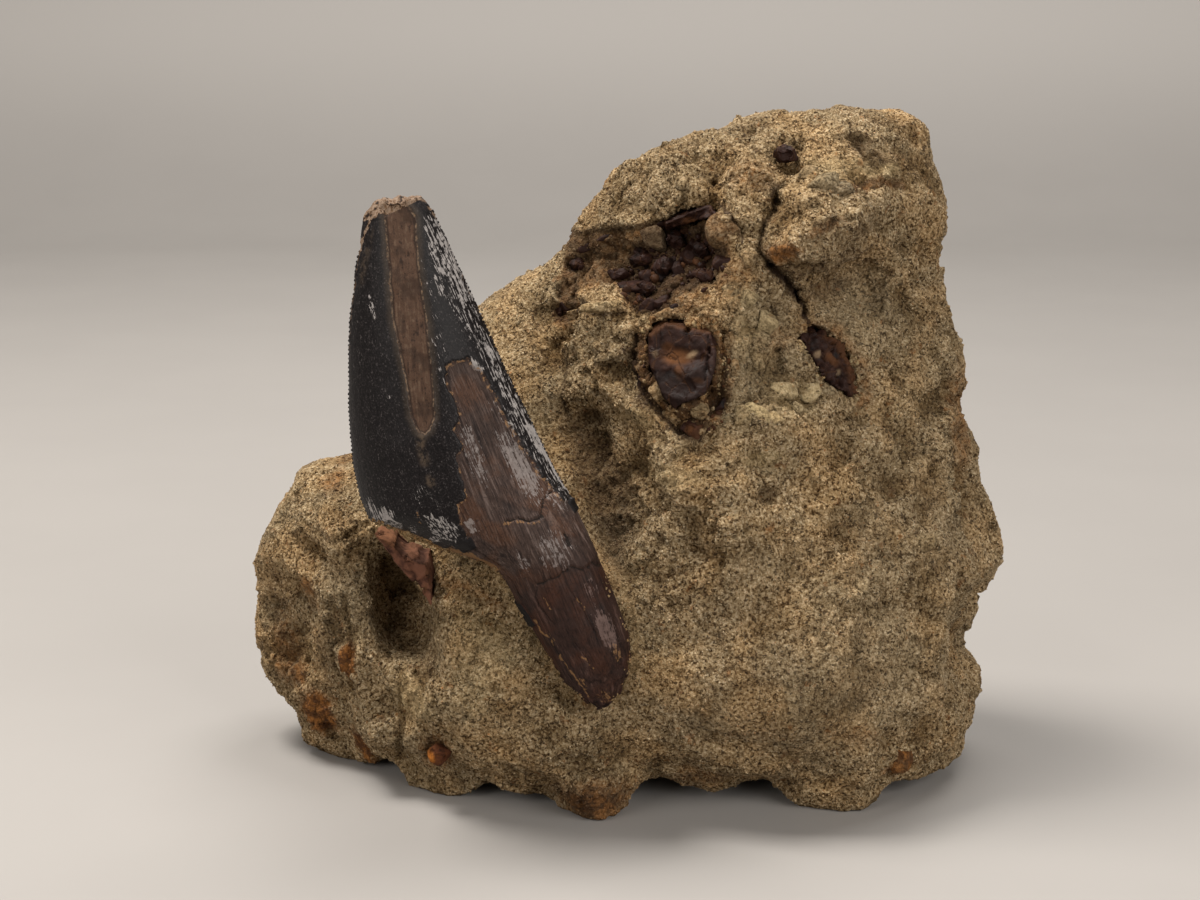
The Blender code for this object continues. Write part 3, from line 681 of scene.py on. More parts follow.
def normals_of(item: bpy.types.Object) -> np.ndarray:
    """The normal at each of the object's points."""
    flat = np.empty(len(item.data.vertices) * 3)
    item.data.vertices.foreach_get("normal", flat)
    return flat.reshape(-1, 3)


def move_points(item: bpy.types.Object, points: np.ndarray) -> None:
    """Put the object's points at places in millimetres."""
    item.data.vertices.foreach_set("co", (points * MM).ravel())
    item.data.update()


def store(item: bpy.types.Object, name: str, values: np.ndarray) -> None:
    """Store numbers, vectors or colours on the object's points, for its material.

    Args:
        item: The object.
        name: Name of the attribute.
        values: One number, or three or four of them, a point.
    """
    kinds = {1: ("FLOAT", "value"), 3: ("FLOAT_VECTOR", "vector"), 4: ("FLOAT_COLOR", "color")}
    width = 1 if values.ndim == 1 else values.shape[1]
    kind, key = kinds[width]
    made = item.data.attributes.new(name, kind, "POINT")
    made.data.foreach_set(key, np.ascontiguousarray(values, np.float32).ravel())


def stored(item: bpy.types.Object, name: str) -> np.ndarray:
    """The numbers stored on the object's points under a name."""
    values = np.empty(len(item.data.vertices))
    item.data.attributes[name].data.foreach_get("value", values)
    return values


def new_object(name: str, mesh: bpy.types.Mesh) -> bpy.types.Object:
    """Link an object with this mesh to the scene."""
    made = bpy.data.objects.new(name, mesh)
    bpy.context.scene.collection.objects.link(made)
    return made


def from_bmesh(name: str, work: bmesh.types.BMesh, scale: float = MM) -> bpy.types.Object:
    """Make an object from a bmesh, in millimetres unless told otherwise, and free the bmesh."""
    bmesh.ops.scale(work, vec=(scale, scale, scale), verts=work.verts)
    mesh = bpy.data.meshes.new(name)
    work.to_mesh(mesh)
    work.free()
    return new_object(name, mesh)


def settle(item: bpy.types.Object) -> None:
    """Give an object the mesh that its modifiers make, and drop them."""
    graph = bpy.context.evaluated_depsgraph_get()
    mesh = bpy.data.meshes.new_from_object(item.evaluated_get(graph))
    item.modifiers.clear()
    item.data = mesh


def evened(node: str, name: str, voxel: float, rounds: int) -> bpy.types.Object:
    """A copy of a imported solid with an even, finer mesh.

    Args:
        node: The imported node.
        name: Name of the copy.
        voxel: Spacing of the new mesh in millimetres.
        rounds: How often the new mesh is smoothed.

    Returns:
        The copy.
    """
    work = bmesh.new()
    work.from_mesh(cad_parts[node].data)
    bmesh.ops.remove_doubles(work, verts=work.verts, dist=MERGE * MM)
    made = from_bmesh(name, work, 1.0)
    made.data.materials.clear()
    remesh = made.modifiers.new("even", "REMESH")
    remesh.mode = "VOXEL"
    remesh.voxel_size = voxel * MM
    if rounds:
        soften = made.modifiers.new("soften", "SMOOTH")
        soften.factor = 0.5
        soften.iterations = rounds
    settle(made)
    return made


def dress(item: bpy.types.Object, material: bpy.types.Material, slot: Slot, *nodes: str) -> None:
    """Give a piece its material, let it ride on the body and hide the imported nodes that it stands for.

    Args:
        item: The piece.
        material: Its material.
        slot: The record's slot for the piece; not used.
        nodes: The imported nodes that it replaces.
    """
    item.data.materials.clear()
    item.data.materials.append(material)
    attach(item, BODY)
    if nodes:
        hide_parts(*nodes)
    triangles = sum(len(face.vertices) - 2 for face in item.data.polygons)
    LOG.info("%s: %d triangles", item.name, triangles)


def bmesh_of(item: bpy.types.Object) -> bmesh.types.BMesh:
    """A bmesh of the object."""
    work = bmesh.new()
    work.from_mesh(item.data)
    return work


class Copies:
    """Many small copies of one shape in a single mesh."""

    def __init__(self, detail: int) -> None:
        """Take the shape from an octahedron, or from a ball with more faces."""
        work = bmesh.new()
        if detail:
            bmesh.ops.create_icosphere(work, subdivisions=detail, radius=1.0)
        else:
            bmesh.ops.create_uvsphere(work, u_segments=4, v_segments=2, radius=1.0)
            bmesh.ops.triangulate(work, faces=work.faces)
        self.points = np.array([vert.co for vert in work.verts])
        self.faces = np.array([[vert.index for vert in face.verts] for face in work.faces])
        work.free()

    def worn(self, count: int, share: float, draw: np.random.Generator) -> np.ndarray:
        """Lengths for every corner of each copy, unevenly worn by a share."""
        return 1.0 + share * draw.uniform(-1.0, 1.0, (count, len(self.points)))

    def faceted(self, count: int, facets: int, draw: np.random.Generator) -> np.ndarray:
        """Lengths for every corner of each copy that break it along flat facets.

        Args:
            count: How many copies.
            facets: How many planes cut each.
            draw: The source of chance.

        Returns:
            One length a corner of each copy.
        """
        sharpness = 60
        planes = draw.normal(size=(count, facets, 3))
        planes /= np.linalg.norm(planes, axis=2)[:, :, None]
        away = draw.uniform(0.62, 0.88, (count, 1, facets))
        reached = np.maximum(np.einsum("nd,sfd->snf", self.points, planes), 0.0) / away
        return np.minimum(np.maximum((reached ** sharpness).sum(axis=2), 1e-9) ** (-1.0 / sharpness), 1.3)

    def scatter(self, name: str, middles: np.ndarray, reach: np.ndarray, turns: np.ndarray,
                lengths: np.ndarray) -> bpy.types.Object:
        """Place the copies.

        Args:
            name: Name of the object.
            middles: Where each copy goes, in millimetres.
            reach: Half sizes of each copy along its own axes.
            turns: A rotation matrix for each copy.
            lengths: How far each corner stands out, one a corner of each copy.

        Returns:
            The object that holds them all.
        """
        count, corners = len(middles), len(self.points)
        shaped = self.points[None] * lengths[:, :, None] * reach[:, None, :]
        points = np.einsum("nij,nkj->nki", turns, shaped) + middles[:, None, :]
        points[:, :, 2] = np.maximum(points[:, :, 2], 0.0)
        faces = self.faces[None] + (np.arange(count) * corners)[:, None, None]
        mesh = bpy.data.meshes.new(name)
        mesh.vertices.add(count * corners)
        mesh.vertices.foreach_set("co", (points * MM).ravel())
        mesh.loops.add(faces.size)
        mesh.loops.foreach_set("vertex_index", faces.ravel())
        mesh.polygons.add(faces.size // 3)
        mesh.polygons.foreach_set("loop_start", np.arange(0, faces.size, 3))
        mesh.update(calc_edges=True)
        return new_object(name, mesh)

    def spread(self, values: np.ndarray) -> np.ndarray:
        """Repeat one value a copy for all of its corners."""
        return np.repeat(values, len(self.points), axis=0)


def any_turns(count: int, draw: np.random.Generator) -> np.ndarray:
    """Rotation matrices that point every way.

    Args:
        count: How many.
        draw: The source of chance.

    Returns:
        One matrix a copy.
    """
    drawn = draw.normal(size=(count, 4))
    w, x, y, z = drawn.T / np.linalg.norm(drawn, axis=1)
    return np.stack([
        np.stack([1 - 2 * (y * y + z * z), 2 * (x * y - z * w), 2 * (x * z + y * w)], -1),
        np.stack([2 * (x * y + z * w), 1 - 2 * (x * x + z * z), 2 * (y * z - x * w)], -1),
        np.stack([2 * (x * z - y * w), 2 * (y * z + x * w), 1 - 2 * (x * x + y * y)], -1),
    ], 1)


# ---------------------------------------------------------------- the tooth


@dataclass
class Tooth:
    """The tooth: its crown with the enamel, the groove and the bare dentine, and its root."""

    tip: Place = (-26.9, 78.4)
    end: Place = (-3.2, 16.3)
    tip_depth: float = -22.5
    end_depth: float = -26.5
    front_edge: Outline = (
        (0.0, -3.1), (1.0, -4.8), (2.2, -6.4), (4.6, -8.3), (7.4, -9.6), (10.4, -11.4), (13.8, -12.9),
        (20.7, -15.7), (27.0, -17.7), (31.0, -18.4), (34.2, -18.4), (36.5, -15.4), (39.3, -12.5),
        (42.3, -9.6),
        (44.2, -7.0), (46.4, -5.9), (50.3, -5.4), (57.4, -4.4), (61.2, -3.8), (64.3, -2.4), (66.2, -0.9),
    )
    back_edge: Outline = (
        (0.0, 1.9), (1.8, 2.7), (8.4, 3.1), (14.9, 3.5), (22.9, 3.9), (29.6, 4.5), (36.0, 5.0), (41.8, 5.9),
        (46.4, 6.3), (51.8, 6.6), (58.4, 6.7), (61.4, 5.8), (64.6, 3.4), (66.2, 0.9),
    )
    half_thickness: Outline = (
        (0.0, 1.7), (3.0, 2.8), (8.0, 4.1), (16.0, 5.5), (26.0, 6.7), (34.0, 7.0), (40.0, 6.7), (46.0, 5.9),
        (54.0, 5.6), (60.0, 4.6), (64.0, 3.0), (66.2, 1.6),
    )
    root_starts: float = 36.0
    root_reached: float = 48.0
    crown_point: float = 1.4
    root_point: float = 0.85
    tip_slant: float = 0.3
    tip_slant_reach: float = 3.4
    groove: Outline = (
        (-1.6, -2.2), (-0.8, 0.2), (1.8, 0.8), (7.5, -0.9), (13.2, -2.1), (19.2, -3.7), (24.0, -5.3),
        (25.4, -6.4), (25.7, -7.2), (25.0, -7.9), (23.0, -8.0), (18.0, -6.9), (11.7, -6.0), (6.2, -4.4),
    )
    dentine: Outline = (
        (19.3, 0.6), (21.2, 1.5), (25.2, 2.2), (28.5, 2.4), (32.4, 3.0), (36.1, 3.8), (39.3, 4.7),
        (41.4, 6.1),
        (44.0, 12.0), (69.0, 12.0), (69.0, -9.0), (45.0, -12.0), (40.4, -11.2), (39.9, -9.9), (40.7, -7.2),
        (37.3, -7.2), (34.7, -6.6), (34.3, -5.3), (29.1, -4.6), (28.4, -3.7), (26.3, -3.8), (25.1, -2.5),
        (21.5, -2.6), (19.0, -2.1),
    )
    rows: int = 340
    front_columns: int = 160
    back_columns: int = 60
    cap_rows: int = 9
    enamel_depth: float = 0.34
    groove_depth: float = 0.22
    plate_height: float = 0.16
    crack_depth: float = 0.24
    root_line: float = 38.0
    plate: Outline = (
        (38.2, 4.2), (38.5, 3.1), (40.1, 2.1), (39.9, 0.7), (39.0, -0.4), (38.8, -2.0), (42.0, -3.6),
        (45.0, -3.0),
        (47.5, -1.6), (47.5, 1.3), (47.0, 3.3), (48.0, 4.4), (48.0, 5.9), (49.2, 8.4), (40.0, 9.0),
    )
    cracks: tuple[Trail, ...] = (
        Trail(((38.8, -2.0), (39.0, -0.4), (39.9, 0.7), (40.1, 2.1), (38.5, 3.1), (38.2, 4.2), (37.6, 5.0)),
              0.22, 1.0),
        Trail(((47.5, -1.6), (47.5, 1.3), (47.0, 3.3), (48.0, 4.4), (48.0, 5.9), (49.2, 6.4)), 0.20, 0.85),
        Trail(((47.5, -1.6), (48.8, -2.3), (50.5, -2.3), (53.0, -1.6)), 0.16, 0.6),
        Trail(((43.3, 4.0), (44.6, 3.9)), 0.34, 1.0),
        Trail(((40.6, -7.6), (42.4, -6.2), (44.4, -5.2)), 0.18, 0.6),
        Trail(((44.4, -5.2), (47.0, -4.4), (49.0, -4.2)), 0.15, 0.5),
        Trail(((41.4, 0.6), (44.0, 0.2), (47.4, -0.4)), 0.13, 0.5),
        Trail(((49.6, 2.2), (53.0, 2.8), (56.4, 3.0)), 0.13, 0.5),
        Trail(((56.0, 0.2), (59.5, 0.8)), 0.15, 0.5),
    )
    ochre: tuple[Stroke, ...] = (
        Trail(((38.6, -13.2), (39.0, -12.4), (40.4, -11.1), (41.2, -9.4), (41.9, -8.0), (43.4, -7.2),
               (44.6, -6.0)),
              0.80, 1.2),
        Trail(((36.0, -15.6), (37.4, -13.9), (38.6, -12.6)), 0.70, 1.1),
        Trail(((34.0, -11.6), (35.1, -11.9), (36.1, -11.7)), 0.26, 0.6),
        Trail(((38.9, -2.4), (39.3, -0.6), (40.2, 0.8), (40.4, 2.0)), 0.42, 0.55),
        Trail(((52.1, -3.9), (53.7, -3.6), (54.6, -2.9)), 0.42, 0.9),
        Trail(((49.0, -1.6), (51.0, -1.0)), 0.22, 0.6),
        Trail(((50.6, 2.6), (52.6, 2.9)), 0.20, 0.7),
        Trail(((57.0, -2.6), (60.6, -1.7), (63.6, -1.2)), 0.42, 0.75),
        Trail(((58.0, 0.4), (60.6, 1.0)), 0.22, 0.6),
        Spot(59.4, 4.6, 2.6, 1.2, 0.62, edge=0.9), Spot(64.4, 0.8, 2.0, 2.4, 0.55, edge=0.9),
        Spot(61.4, -1.0, 1.6, 1.0, 0.6, edge=0.9), Spot(54.6, -2.8, 1.6, 0.9, 0.6, edge=0.9),
    )
    # Where the whitish bloom lies: partly wear, partly a painted sheen along the right of the crown.
    bloom_and_sheen: tuple[Stroke, ...] = (
        Patch(((2.0, 0.8), (1.2, 3.2), (20.0, 4.4), (33.0, 5.4), (40.5, 6.4), (41.5, 7.4), (38.0, 3.9),
               (26.0, 2.2),
               (18.0, 1.0), (10.0, -0.6)), 1.0, 1.2),
        Patch(((3.0, 1.6), (2.0, 3.4), (14.0, 4.2), (14.0, 1.6)), 1.3, 0.8),
        Patch(((29.0, 3.2), (30.0, 5.4), (40.0, 6.8), (40.2, 5.2), (34.0, 4.1)), 1.8, 0.5),
        Patch(((3.0, -0.2), (8.0, 0.6), (18.6, -1.0), (24.0, -3.4), (20.0, -4.0), (14.0, -2.4), (8.0, -1.0)),
              0.55, 0.9),
        Spot(9.7, -7.9, 1.7, 0.42, 1.15, turn=-8, edge=0.4),
        Patch(((30.6, -18.2), (34.4, -18.2), (36.8, -14.6), (35.2, -13.6), (32.2, -15.6)), 1.1, 0.6),
        Patch(((34.4, -11.2), (38.4, -11.4), (39.6, -8.4), (38.0, -7.2), (34.8, -8.6)), 1.05, 0.5),
        Patch(((26.0, 4.6), (35.0, 5.4), (42.0, 7.4), (41.0, 3.4), (30.0, 1.2), (24.0, 0.4)), 0.7, 1.0),
        Spot(20.2, -9.6, 0.5, 0.42, 1.3),
        Spot(33.4, -15.6, 1.9, 1.4, 1.5, turn=25),
        Spot(32.0, -17.3, 1.6, 0.8, 1.2, turn=-5),
        Spot(36.4, -13.2, 1.3, 0.9, 1.0),
        Spot(36.2, -9.6, 2.2, 1.0, 1.1),
        Spot(38.4, -11.2, 1.0, 1.2, 1.2),
        Patch(((36.9, -7.0), (36.7, -5.6), (38.9, -5.4), (39.1, -6.8)), 1.4, 0.3),
        Spot(20.6, 1.3, 1.6, 0.7, 1.5, turn=18),
        Spot(33.6, 1.9, 6.8, 1.9, 1.45, turn=8),
        Spot(30.0, -2.6, 6.0, 1.5, 0.9, turn=-5),
        Spot(44.4, 2.2, 3.6, 3.2, 0.85),
        Spot(56.0, 4.4, 4.6, 1.6, 1.5, turn=4), Spot(50.5, 4.6, 2.4, 1.2, 0.8),
        Spot(44.0, -2.0, 2.6, 1.2, 0.5),
        Spot(33.0, -10.0, 7.0, 2.4, 0.30),
    )
    soot: tuple[Stroke, ...] = (
        Patch(((39.2, -9.4), (39.0, -6.6), (40.9, -6.5), (41.4, -8.8)), 1.0, 0.3),
        Patch(((49.4, -6.4), (49.6, -4.5), (52.9, -3.9), (53.6, -5.6)), 1.0, 0.3),
        Patch(((40.0, 5.0), (40.2, 7.4), (42.2, 7.8), (42.0, 5.4)), 1.0, 0.3),
    )
    smudge: tuple[Stroke, ...] = (
        Trail(((25.6, -7.6), (27.2, -8.2), (28.6, -8.4)), 0.9, 1.0),
        Spot(31.0, -8.6, 1.1, 0.8, 0.9),
        Patch(((0.4, -3.6), (1.6, -5.6), (5.0, -8.2), (8.0, -9.4), (7.0, -7.6), (3.0, -5.0)), 0.6, 0.9),
    )
    rim: tuple[Stroke, ...] = (
        Trail(((-1.4, -3.6), (-0.6, -1.0), (0.0, 1.9)), 0.40, 0.85),
        Trail(((0.0, -4.2), (1.4, -5.6), (3.6, -7.5)), 0.42, 0.66),
        Trail(((3.6, -7.5), (7.4, -9.6), (13.8, -12.9)), 0.32, 0.46),
        Trail(((0.2, 1.9), (1.8, 2.6), (3.2, 2.8)), 0.40, 0.54),
        Trail(((3.2, 2.8), (12.0, 3.2), (26.0, 4.2)), 0.26, 0.42),
    )
    tables: dict[str, np.ndarray] = field(default_factory=dict)

    def __post_init__(self) -> None:
        """Ease the drawn edges into smooth tables along the tooth."""
        self.length = math.dist(self.tip, self.end)
        self.along = Vector((self.end[0] - self.tip[0], 0.0, self.end[1] - self.tip[1])).normalized()
        self.across = Vector((-self.along.z, 0.0, self.along.x))
        step, reach = 0.1, 9
        stations = np.arange(0.0, self.front_edge[-1][0] + step, step)
        window = np.hanning(2 * reach + 1)
        window /= window.sum()
        self.tables["station"] = stations
        for name in ("front_edge", "back_edge", "half_thickness"):
            values = np.interp(stations, *zip(*getattr(self, name)))
            padded = np.pad(values, reach, mode="reflect", reflect_type="odd")
            self.tables[name] = np.convolve(padded, window, mode="valid")

    def table(self, name: str, along: np.ndarray) -> np.ndarray:
        """Read one of the tables at distances along the tooth."""
        return np.interp(along, self.tables["station"], self.tables[name])

    def place(self, along: np.ndarray, across: np.ndarray, out: np.ndarray) -> np.ndarray:
        """Places in the block's frame from places on the tooth.

        Args:
            along: Distance from the tip.
            across: Distance to the right of the tooth's line.
            out: Distance behind its middle plane.

        Returns:
            One point a row.
        """
        depth = self.tip_depth + (self.end_depth - self.tip_depth) * along / self.length
        return np.stack([
            self.tip[0] + self.along.x * along + self.across.x * across,
            depth + out,
            self.tip[1] + self.along.z * along + self.across.z * across,
        ], axis=1)

    def section(self, along: np.ndarray, angle: np.ndarray) -> tuple[np.ndarray, np.ndarray, np.ndarray]:
        """The tooth's outline around it.

        Args:
            along: Distance from the tip.
            angle: Angle round the section, from the right edge by the back.

        Returns:
            Distance along, across and out of the surface there.
        """
        left, right = self.table("front_edge", along), self.table("back_edge", along)
        thick = self.table("half_thickness", along)
        rooted = smooth((along - self.root_starts) / (self.root_reached - self.root_starts))
        power = self.crown_point + (self.root_point - self.crown_point) * rooted
        across = (left + right) / 2.0 + (right - left) / 2.0 * np.cos(angle)
        out = thick * np.sign(np.sin(angle)) * np.abs(np.sin(angle)) ** power
        slant = self.tip_slant * smooth(1.0 - along / self.tip_slant_reach)
        return along + slant * (across - right), across, out

    def column_angles(self) -> np.ndarray:
        """Angles of the mesh's columns, evenly spaced on the surface and closer on the front."""
        fine = np.linspace(0.0, 2.0 * math.pi, 4001)
        _, across, out = self.section(np.full(len(fine), 24.0), fine)
        steps = np.hypot(np.diff(across), np.diff(out))
        front = fine[:-1] >= math.pi
        weight = np.where(front, self.front_columns / steps[front].sum(),
                          self.back_columns / steps[~front].sum())
        reached = np.concatenate([[0.0], np.cumsum(steps * weight)])
        return np.interp(np.arange(self.front_columns + self.back_columns + 1), reached, fine)

    def base(self) -> bpy.types.Object:
        """The plain tooth: a grid wrapped round it and closed over both ends."""
        columns = self.front_columns + self.back_columns
        rows = self.rows + 2 * self.cap_rows
        work = bmesh.new()
        bmesh.ops.create_grid(work, x_segments=columns, y_segments=rows, size=0.5)
        angle_of = self.column_angles()
        cap = np.sin(np.linspace(0.0, math.pi / 2.0, self.cap_rows + 1))[:-1]
        along_of = np.concatenate([np.zeros(self.cap_rows),
                                   np.linspace(0.0, self.front_edge[-1][0], self.rows + 1),
                                   np.full(self.cap_rows, self.front_edge[-1][0])])
        shrink_of = np.concatenate([cap, np.ones(self.rows + 1), cap[::-1]])
        spot = np.array([vert.co for vert in work.verts]) + 0.5
        column = np.rint(spot[:, 0] * columns).astype(int)
        row = np.rint(spot[:, 1] * rows).astype(int)
        along, across, out = self.section(along_of[row], angle_of[column])
        middle = (self.table("front_edge", along_of[row]) + self.table("back_edge", along_of[row])) / 2.0
        share = shrink_of[row]
        level, _, _ = self.section(along_of[row], np.full(len(row), math.pi / 2.0))
        along, across, out = level + (along - level) * share, middle + (across - middle) * share, out * share
        layers = {name: work.verts.layers.float.new(name) for name in ("t_along", "t_across", "t_out")}
        for vert, point, *values in zip(work.verts, self.place(along, across, out), along, across, out):
            vert.co = point
            for layer, value in zip(layers.values(), values):
                vert[layer] = value
        bmesh.ops.remove_doubles(work, verts=work.verts, dist=0.004)
        bmesh.ops.recalc_face_normals(work, faces=work.faces)
        return from_bmesh("tooth_detail", work)

    def build(self) -> bpy.types.Object:
        """Make the tooth with its relief and store the masks that its material reads.

        Returns:
            The finished piece.
        """
        item = self.base()
        along, across, out = (stored(item, name) for name in ("t_along", "t_across", "t_out"))
        points, normals = points_of(item), normals_of(item)
        way = np.stack([across, along, out], axis=1)
        jag = 0.34 * noise_at(points, 1.3) + 0.16 * noise_at(points, 0.45, 5.0)
        front = smooth(0.5 - out / 1.2)

        bare = depth_inside(along, across, self.dentine)
        root = along - self.root_line - 1.2 * noise_at(points, 4.0, 9.0)
        enamel = -(bare * front + root * (1.0 - front)) + jag
        groove = np.where(out < 0.0, depth_inside(along, across, self.groove), -9.0) + 0.35 * jag
        enamel = np.minimum(enamel, -groove)
        faced = np.where(out < 1.0, 1.0, 0.0)
        soot = strongest(self.soot, along, across) * faced
        bloom_and_sheen = strongest(self.bloom_and_sheen, along, across) * faced
        behind = smooth(out / 2.0)
        veil = np.clip(0.1 + 1.1 * noise_at(way * (1.0, 0.3, 1.0), 2.6, 3.0), 0.0, 0.7)
        bloom_and_sheen = np.maximum(bloom_and_sheen, behind * veil)
        waver = 0.25 * noise_at(points, 0.9, 2.0) + 0.14 * noise_at(points, 0.35, 6.0)
        crack = strongest(self.cracks, along + waver, across + waver) * faced
        ochre = strongest(self.ochre, along, across + 0.30 * noise_at(points, 0.8, 7.0)) * faced
        tip = np.maximum(strongest(self.rim, along, across), smooth(1.0 - (along + 0.1) / 0.6))

        exposed = smooth(0.5 - enamel / 0.22)
        height = -self.enamel_depth * exposed
        height += self.enamel_depth * 0.9 * smooth(soot * 2.0 - 0.5)
        height -= self.groove_depth * smooth(groove / 1.6)
        height -= 0.05 * smooth(1.0 + groove / 0.9) * (groove < 0.0)
        fibre = noise_at(way * (1.0, 0.07, 1.0), 0.45) * 0.5 + noise_at(way * (1.0, 0.12, 1.0), 1.1, 4.0)
        height += exposed * (0.075 * fibre + 0.14 * noise_at(points, 5.0, 1.0) + 0.05
                             * noise_at(points, 0.7, 6.0))
        height += (1.0 - exposed) * (0.018 * fibre + 0.05 * noise_at(points, 3.5, 8.0))
        height += self.plate_height * smooth(depth_inside(along, across, self.plate) / 0.35) * faced
        height -= self.crack_depth * smooth(crack * 1.3)
        height += 0.10 * smooth(ochre) * noise_at(points, 0.35, 2.0)
        lower = smooth((along - 49.0) / 3.0)
        height += lower * (0.16 * noise_at(way * (1.0, 0.25, 1.0), 2.2, 3.0) - 0.04)
        height += smooth(tip * 1.4) * (0.30 * noise_at(points, 0.9, 4.0) + 0.20 * noise_at(points, 0.38, 1.0))
        torn = smooth((along - 33.0) / 1.5) * (1.0
                                               - smooth((along - 45.0) / 2.0)) + smooth((along - 57.0) / 3.0)
        torn *= smooth((0.25 - (across - self.table("front_edge", along)) / 4.0) / 0.25)
        sideways = torn * (0.45 * noise_at(points, 1.1, 12.0) + 0.22 * noise_at(points, 0.5, 13.0))
        chipped = 0.9 * noise_at(points, 1.5, 15.0) + 0.4 * noise_at(points, 0.6, 16.0)
        ragged = smooth((along - 59.0) / 4.0) * chipped
        moved = points + normals * height[:, None] + np.array(self.across) * sideways[:, None]
        moved += np.array(self.along) * ragged[:, None]
        move_points(item, moved)

        for name, values in (("way", way), ("enamel", enamel), ("groove", groove), ("bloom_and_sheen", bloom_and_sheen),
                             ("crack", crack), ("ochre", ochre), ("tip", tip), ("soot", soot),
                             ("smudge", strongest(self.smudge, along, across) * faced)):
            store(item, name, values)
        item.data.shade_smooth()
        return item

    def edge_line(self, table: str, reach: float, first: float, last: float) -> Outline:
        """A stretch of one edge, seen from the front.

        Args:
            table: The edge.
            reach: How far to the right of it the line runs, in millimetres.
            first: Distance along the tooth where the line starts.
            last: Distance where it ends.

        Returns:
            The line's points as (x, z).
        """
        stations = np.linspace(first, last, 60)
        line = self.place(stations, self.table(table, stations) + reach, stations * 0.0)
        return tuple((float(x), float(z)) for x, _, z in line)

    def edge_outline(self, reach: float = 0.0) -> Outline:
        """The tooth's outline from the front as (x, z), grown by some millimetres."""
        end = self.front_edge[-1][0]
        return self.edge_line("front_edge", -reach, 0.0, end) + self.edge_line("back_edge", reach, end, 0.0)


@dataclass
class Serrations:
    """The fine teeth along both cutting edges of the crown."""

    tooth: Tooth
    pitch: float = 0.5
    length: float = 0.20
    height: float = 0.17
    thickness: float = 0.26
    front_reach: Place = (3.4, 34.0)
    back_reach: Place = (2.0, 41.0)

    def along_edge(self, table: str, reach: Place, side: float) -> tuple[np.ndarray, np.ndarray]:
        """Where one edge's serrations stand.

        Args:
            table: The tooth's edge.
            reach: Distances from the tip where they start and end.
            side: -1 for the left edge and 1 for the right.

        Returns:
            The middle of each, and its rotation.
        """
        tooth = self.tooth
        stations = np.arange(*reach, self.pitch)
        edge = tooth.table(table, stations)
        slope = (tooth.table(table, stations + 0.3) - tooth.table(table, stations - 0.3)) / 0.6
        middles = tooth.place(stations, edge - side * 0.04, stations * 0.0)
        lengthwise = np.array(tooth.along) + np.outer(slope, np.array(tooth.across))
        lengthwise /= np.linalg.norm(lengthwise, axis=1)[:, None]
        outward = np.cross(lengthwise, (0.0, 1.0, 0.0))
        thick = np.cross(lengthwise, outward)
        return middles, np.stack([lengthwise, outward, thick], axis=2)

    def build(self) -> bpy.types.Object:
        """Make the serrations of both edges as one mesh.

        Returns:
            The finished piece.
        """
        draw = np.random.default_rng(Seed.SERRATIONS)
        front = self.along_edge("front_edge", self.front_reach, -1.0)
        back = self.along_edge("back_edge", self.back_reach, 1.0)
        middles = np.concatenate([front[0], back[0]])
        turns = np.concatenate([front[1], back[1]])
        reach = np.tile((self.length, self.height, self.thickness), (len(middles), 1))
        reach *= draw.uniform(0.75, 1.15, (len(middles), 1))
        shape = Copies(1)
        lengths = shape.worn(len(middles), 0.05, draw)
        item = shape.scatter("tooth_serrations", middles, reach, turns, lengths)
        points = points_of(item)
        offset = points - (np.array((self.tooth.tip[0], 0.0, self.tooth.tip[1])))
        along = offset @ np.array(self.tooth.along)
        across = offset @ np.array(self.tooth.across)
        store(item, "way", np.stack([across, along, points[:, 1] * 0.0], axis=1))
        none = np.zeros(len(points))
        for name, values in (("enamel", none + 1.0), ("groove", none - 9.0), ("crack", none), ("ochre", none),
                             ("soot", none), ("smudge", none),
                             ("bloom_and_sheen", shape.spread(draw.uniform(0.0, 0.7, len(middles)))),
                             ("tip", strongest(self.tooth.rim, along, across))):
            store(item, name, values)
        item.data.shade_smooth()
        return item


# ---------------------------------------------------------------- the block


